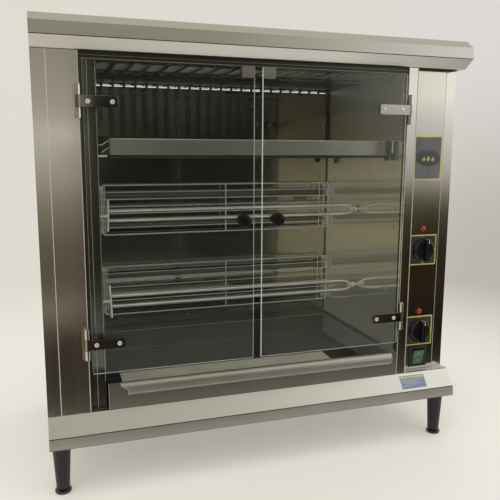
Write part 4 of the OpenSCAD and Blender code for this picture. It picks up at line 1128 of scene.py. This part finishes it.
# wall rivets in the chamber and rear
bm = bmesh.new()
for y, z in ((60, 560), (60, 330), (330, 690), (330, 560), (345, 420), (40, 470)):
    lathe(bm, [(0.0, 0.0), (0.0, 0.0028), (0.0006, 0.0025), (0.0011, 0.0015), (0.0012, 0.0)], V(297.9, y, z), (-1, 0, 0), 18)
for x in (-250, -80, 90, 250):
    for z in (740, 220):
        lathe(bm, [(0.0, 0.0), (0.0, 0.0028), (0.0006, 0.0025), (0.0011, 0.0015), (0.0012, 0.0)], V(x, 379.9, z), (0, -1, 0), 18)
finish_piece("wall_rivets", bm, "screw", "cabinet")

# ------------------------------------------------------------------ legs, feet, rear
bm = bmesh.new()
for x in (-404, 404):
    for y in (9, 405):
        lathe(bm, [(0.0, 0.0053), (0.0, 0.0113), (0.0008, 0.0120), (0.0040, 0.0123), (0.0820, 0.0167), (0.0835, 0.0175), (0.0905, 0.0175), (0.0908, 0.0170), (0.0908, 0.0)],
              V(x, y, 8.1), (0, 0, 1), 40)
finish_piece("leg_set", bm, "legs", "cabinet", ("legs",))
for tag, x, y in (("fl", -404, 9), ("fr", 404, 9), ("rl", -404, 405), ("rr", 404, 405)):
    node = {"fl": "foot_front_left", "fr": "foot_front_right", "rl": "foot_rear_left", "rr": "foot_rear_right"}[tag]
    bm = bmesh.new()
    lathe(bm, [(0.0, 0.0), (0.0, 0.0141), (0.0004, 0.0145), (0.0015, 0.0151), (0.0022, 0.0152), (0.0046, 0.0152), (0.0056, 0.0147), (0.0062, 0.0132),
               (0.0066, 0.0118), (0.0070, 0.0112), (0.0070, 0.0)], V(x, y, 0), (0, 0, 1), 96, 0, (16, 0.0006, 3, 5))
    prof = [(0.0068, 0.0049)]
    for k in range(34):
        prof += [(0.0070 + k * 0.0015, 0.0049), (0.0070 + k * 0.0015 + 0.00075, 0.0043)]
    prof += [(0.0585, 0.0046), (0.0590, 0.0040), (0.0590, 0.0)]
    lathe(bm, prof, V(x, y, 0), (0, 0, 1), 20)
    finish_piece("pad_" + tag, bm, "foot", "foot_" + tag, (node,))

bm = bmesh.new()
for x, z in [(x, z) for x in (-400, -133, 133, 400) for z in (170, 835)] + [(-400, 480), (400, 480)]:
    lathe(bm, [(0.0, 0.0), (0.0, 0.0040), (0.0008, 0.0039), (0.0015, 0.0030), (0.0019, 0.0018), (0.0013, 0.0013), (0.0010, 0.0)], V(x, 430.05, z), (0, 1, 0), 24)
for y, z in ((319, 762), (50, 772), (340, 731)):
    for xx, d in ((296.25, -1), (-317.25, 1)):
        lathe(bm, [(0.0, 0.0), (0.0, 0.0034), (0.0010, 0.0033), (0.0017, 0.0024), (0.0021, 0.0014), (0.0015, 0.0010), (0.0013, 0.0)], V(xx, y, z), (d, 0, 0), 24)
finish_piece("sheet_screws", bm, "screw", "cabinet", ("panel_screws",))

# ------------------------------------------------------------------ stage
def plane(name, x0, x1, y0, y1, z=0.0):
    me = bpy.data.meshes.new(name)
    me.from_pydata([(x0, y0, z), (x1, y0, z), (x1, y1, z), (x0, y1, z)], [], [(0, 1, 2, 3)])
    o = bpy.data.objects.new(name, me)
    scene.collection.objects.link(o)
    return o


# the floor fades into the backdrop at a distance, so no horizon shows
fm, nt = new_mat("floor_pale")
tc = N(nt, "ShaderNodeTexCoord")
ln = N(nt, "ShaderNodeVectorMath")
ln.operation = "LENGTH"
L(nt, tc.outputs["Object"], ln.inputs[0])
fade = remap(nt, ln.outputs["Value"], 0.75, 1.9, 0.0, 1.0)
fp, fo = principled(nt, Base_Color=(0.78, 0.76, 0.71, 1), Roughness=0.6)
fp.inputs["Emission Color"].default_value = (1.0, 0.98, 0.93, 1)
fp.inputs["Emission Strength"].default_value = 0.155
ft = N(nt, "ShaderNodeBsdfTransparent")
fx = N(nt, "ShaderNodeMixShader")
L(nt, fade, fx.inputs[0])
L(nt, fp.outputs[0], fx.inputs[1])
L(nt, ft.outputs[0], fx.inputs[2])
L(nt, fx.outputs[0], fo.inputs["Surface"])
floor = plane("floor", -2, 2, -0.52, 2)
floor_front = plane("floor_front", -2, 2, -2, -0.52)
floor_front.visible_glossy = False
for o in (floor, floor_front):
    o.data.materials.append(fm)

world = bpy.data.worlds.new("studio")
scene.world = world
world.use_nodes = True
wn = world.node_tree
wn.nodes.clear()
tc = wn.nodes.new("ShaderNodeTexCoord")
sep = wn.nodes.new("ShaderNodeSeparateXYZ")
wn.links.new(tc.outputs["Generated"], sep.inputs[0])
DX, DY, DZ = sep.outputs["X"], sep.outputs["Y"], sep.outputs["Z"]
zr = remap(wn, DZ, -0.5, 1.0, 0.0, 1.0)


def zone(stops):
    return ramp(wn, zr, [((z + 0.5) / 1.5, c) for z, c in stops])


# what the steel mirrors, by direction: a dim warm room in front, light from above, window light on the right
left_zone = zone([(-0.5, (0.30, 0.27, 0.22)), (-0.40, (0.10, 0.085, 0.06)), (-0.36, (0.052, 0.044, 0.030)),
                  (-0.285, (0.050, 0.038, 0.026)), (-0.262, (0.20, 0.16, 0.12)), (-0.245, (0.33, 0.27, 0.20)),
                  (-0.225, (0.17, 0.14, 0.10)), (-0.205, (0.125, 0.105, 0.075)), (-0.155, (0.145, 0.122, 0.088)),
                  (-0.12, (0.205, 0.178, 0.124)), (-0.085, (0.285, 0.257, 0.187)), (-0.048, (0.455, 0.415, 0.34)),
                  (-0.012, (0.51, 0.475, 0.41)), (0.022, (0.86, 0.80, 0.73)), (0.045, (0.50, 0.47, 0.40)),
                  (0.10, (0.44, 0.405, 0.34)), (0.14, (0.39, 0.36, 0.30)), (0.40, (0.29, 0.265, 0.185)),
                  (0.55, (0.34, 0.32, 0.25)), (0.80, (0.54, 0.51, 0.42)), (1.0, (0.56, 0.54, 0.46))])
dark_zone = zone([(-0.5, (0.12, 0.115, 0.09)), (-0.33, (0.045, 0.043, 0.034)), (-0.22, (0.020, 0.020, 0.016)),
                  (-0.05, (0.010, 0.010, 0.008)), (0.05, (0.022, 0.021, 0.017)), (0.16, (0.10, 0.095, 0.08)),
                  (0.36, (0.22, 0.20, 0.14)), (0.55, (0.34, 0.32, 0.25)), (0.80, (0.575, 0.55, 0.47)),
                  (1.0, (0.56, 0.54, 0.46))])
mid_zone = zone([(-0.5, (0.22, 0.20, 0.15)), (-0.30, (0.14, 0.125, 0.09)), (-0.16, (0.18, 0.15, 0.10)),
                 (-0.10, (0.17, 0.14, 0.09)), (-0.04, (0.07, 0.06, 0.04)), (0.06, (0.04, 0.037, 0.028)),
                 (0.16, (0.20, 0.19, 0.16)), (0.38, (0.36, 0.335, 0.26)), (0.75, (0.78, 0.745, 0.655)),
                 (1.0, (0.58, 0.56, 0.48))])
right_zone = zone([(-0.5, (0.20, 0.18, 0.14)), (-0.335, (0.06, 0.055, 0.042)), (-0.31, (0.018, 0.016, 0.011)),
                   (-0.28, (0.007, 0.006, 0.004)), (-0.21, (0.030, 0.019, 0.009)), (-0.17, (0.022, 0.016, 0.008)),
                   (-0.13, (0.040, 0.031, 0.016)), (-0.10, (0.052, 0.043, 0.025)), (-0.07, (0.135, 0.12, 0.088)),
                   (-0.042, (0.50, 0.46, 0.39)), (-0.01, (0.56, 0.56, 0.50)), (0.02, (0.71, 0.70, 0.63)),
                   (0.05, (0.80, 0.785, 0.74)), (0.08, (1.12, 1.10, 1.00)), (0.12, (1.05, 1.03, 0.94)),
                   (0.25, (0.80, 0.78, 0.74)), (0.36, (0.72, 0.70, 0.66)), (0.55, (0.92, 0.88, 0.81)), (0.72, (1.16, 1.12, 1.04)), (1.0, (0.66, 0.64, 0.57))])
far_left = zone([(-0.5, (0.56, 0.48, 0.34)), (-0.2, (0.56, 0.47, 0.32)), (-0.035, (0.56, 0.465, 0.32)),
                 (0.025, (0.12, 0.095, 0.055)), (0.12, (0.14, 0.12, 0.08)), (0.3, (0.34, 0.31, 0.25)), (1.0, (0.56, 0.54, 0.46))])
far_gain = remap(wn, DX, -0.50, -0.36, 1.45, 0.62)
far_left = mix_color(wn, 1.0, far_left, far_gain, "MULTIPLY")
front = mix_color(wn, remap(wn, DX, -0.30, -0.10, 0.0, 1.0), far_left, left_zone)
front = mix_color(wn, remap(wn, DX, 0.056, 0.078, 0.0, 1.0), front, dark_zone)
front = mix_color(wn, remap(wn, DX, 0.325, 0.36, 0.0, 1.0), front, mid_zone)
front = mix_color(wn, remap(wn, DX, 0.42, 0.52, 0.0, 1.0), front, right_zone)
gain = remap(wn, DX, 0.54, 0.60, 1.0, 1.22)
front = mix_color(wn, 1.0, front, gain, "MULTIPLY")
back = zone([(-0.5, (0.50, 0.48, 0.43)), (0.0, (0.56, 0.54, 0.48)), (0.5, (0.58, 0.56, 0.50)),
             (0.88, (0.53, 0.50, 0.40)), (1.0, (0.56, 0.54, 0.46))])
env = mix_color(wn, remap(wn, DY, -0.15, 0.20, 0.0, 1.0), front, back)

lp = wn.nodes.new("ShaderNodeLightPath")
bg_env = wn.nodes.new("ShaderNodeBackground")
wn.links.new(env, bg_env.inputs["Color"])
bg_env.inputs["Strength"].default_value = 1.0
# soft even light for everything matt
bg_dif = wn.nodes.new("ShaderNodeBackground")
bg_dif.inputs["Color"].default_value = (1.0, 0.98, 0.94, 1)
bg_dif.inputs["Strength"].default_value = 0.72
# backdrop: warm white, with a painted shadow that darkens it towards the right at mid height
dot = wn.nodes.new("ShaderNodeVectorMath")
dot.operation = "DISTANCE"
wn.links.new(tc.outputs["Generated"], dot.inputs[0])
dot.inputs[1].default_value = (0.66, 0.75, -0.19)
shade = remap(wn, dot.outputs["Value"], 0.04, 0.36, 1.0, 0.0)
shade.node.interpolation_type = "SMOOTHSTEP"
low = remap(wn, DZ, -0.30, 0.12, 0.0, 1.0)
paper = mix_color(wn, low, (0.725, 0.70, 0.63), (0.735, 0.71, 0.635))
paper = mix_color(wn, remap(wn, DX, 0.0, 0.6, 0.0, 1.0), paper, (0.72, 0.69, 0.655))
paper = mix_color(wn, shade, paper, (0.50, 0.475, 0.43))
bg_cam = wn.nodes.new("ShaderNodeBackground")
wn.links.new(paper, bg_cam.inputs["Color"])
bg_cam.inputs["Strength"].default_value = 1.0
mix1 = wn.nodes.new("ShaderNodeMixShader")
wn.links.new(lp.outputs["Is Diffuse Ray"], mix1.inputs[0])
wn.links.new(bg_env.outputs[0], mix1.inputs[1])
wn.links.new(bg_dif.outputs[0], mix1.inputs[2])
mixw = wn.nodes.new("ShaderNodeMixShader")
wn.links.new(lp.outputs["Is Camera Ray"], mixw.inputs[0])
wn.links.new(mix1.outputs[0], mixw.inputs[1])
wn.links.new(bg_cam.outputs[0], mixw.inputs[2])
ow = wn.nodes.new("ShaderNodeOutputWorld")
wn.links.new(mixw.outputs[0], ow.inputs["Surface"])


def area(name, pos, target, size, power, color=(1, 1, 1), glossy=True):
    d = bpy.data.lights.new(name, "AREA")
    d.shape = "RECTANGLE"
    d.size, d.size_y = size
    d.energy = power
    d.color = color
    o = bpy.data.objects.new(name, d)
    scene.collection.objects.link(o)
    o.location = pos
    o.rotation_euler = (Vector(target) - Vector(pos)).to_track_quat("-Z", "Y").to_euler()
    o.visible_glossy = glossy
    return o


area("key_left", (-1.3, -1.5, 2.3), (0, 0, 0.3), (2.2, 2.2), 16, (1.0, 0.98, 0.94), False)
area("top_fill", (0.2, -0.4, 2.9), (0, 0, 0.5), (3.0, 3.0), 22, (1.0, 0.99, 0.96), False)

scene.view_settings.view_transform = "Standard"
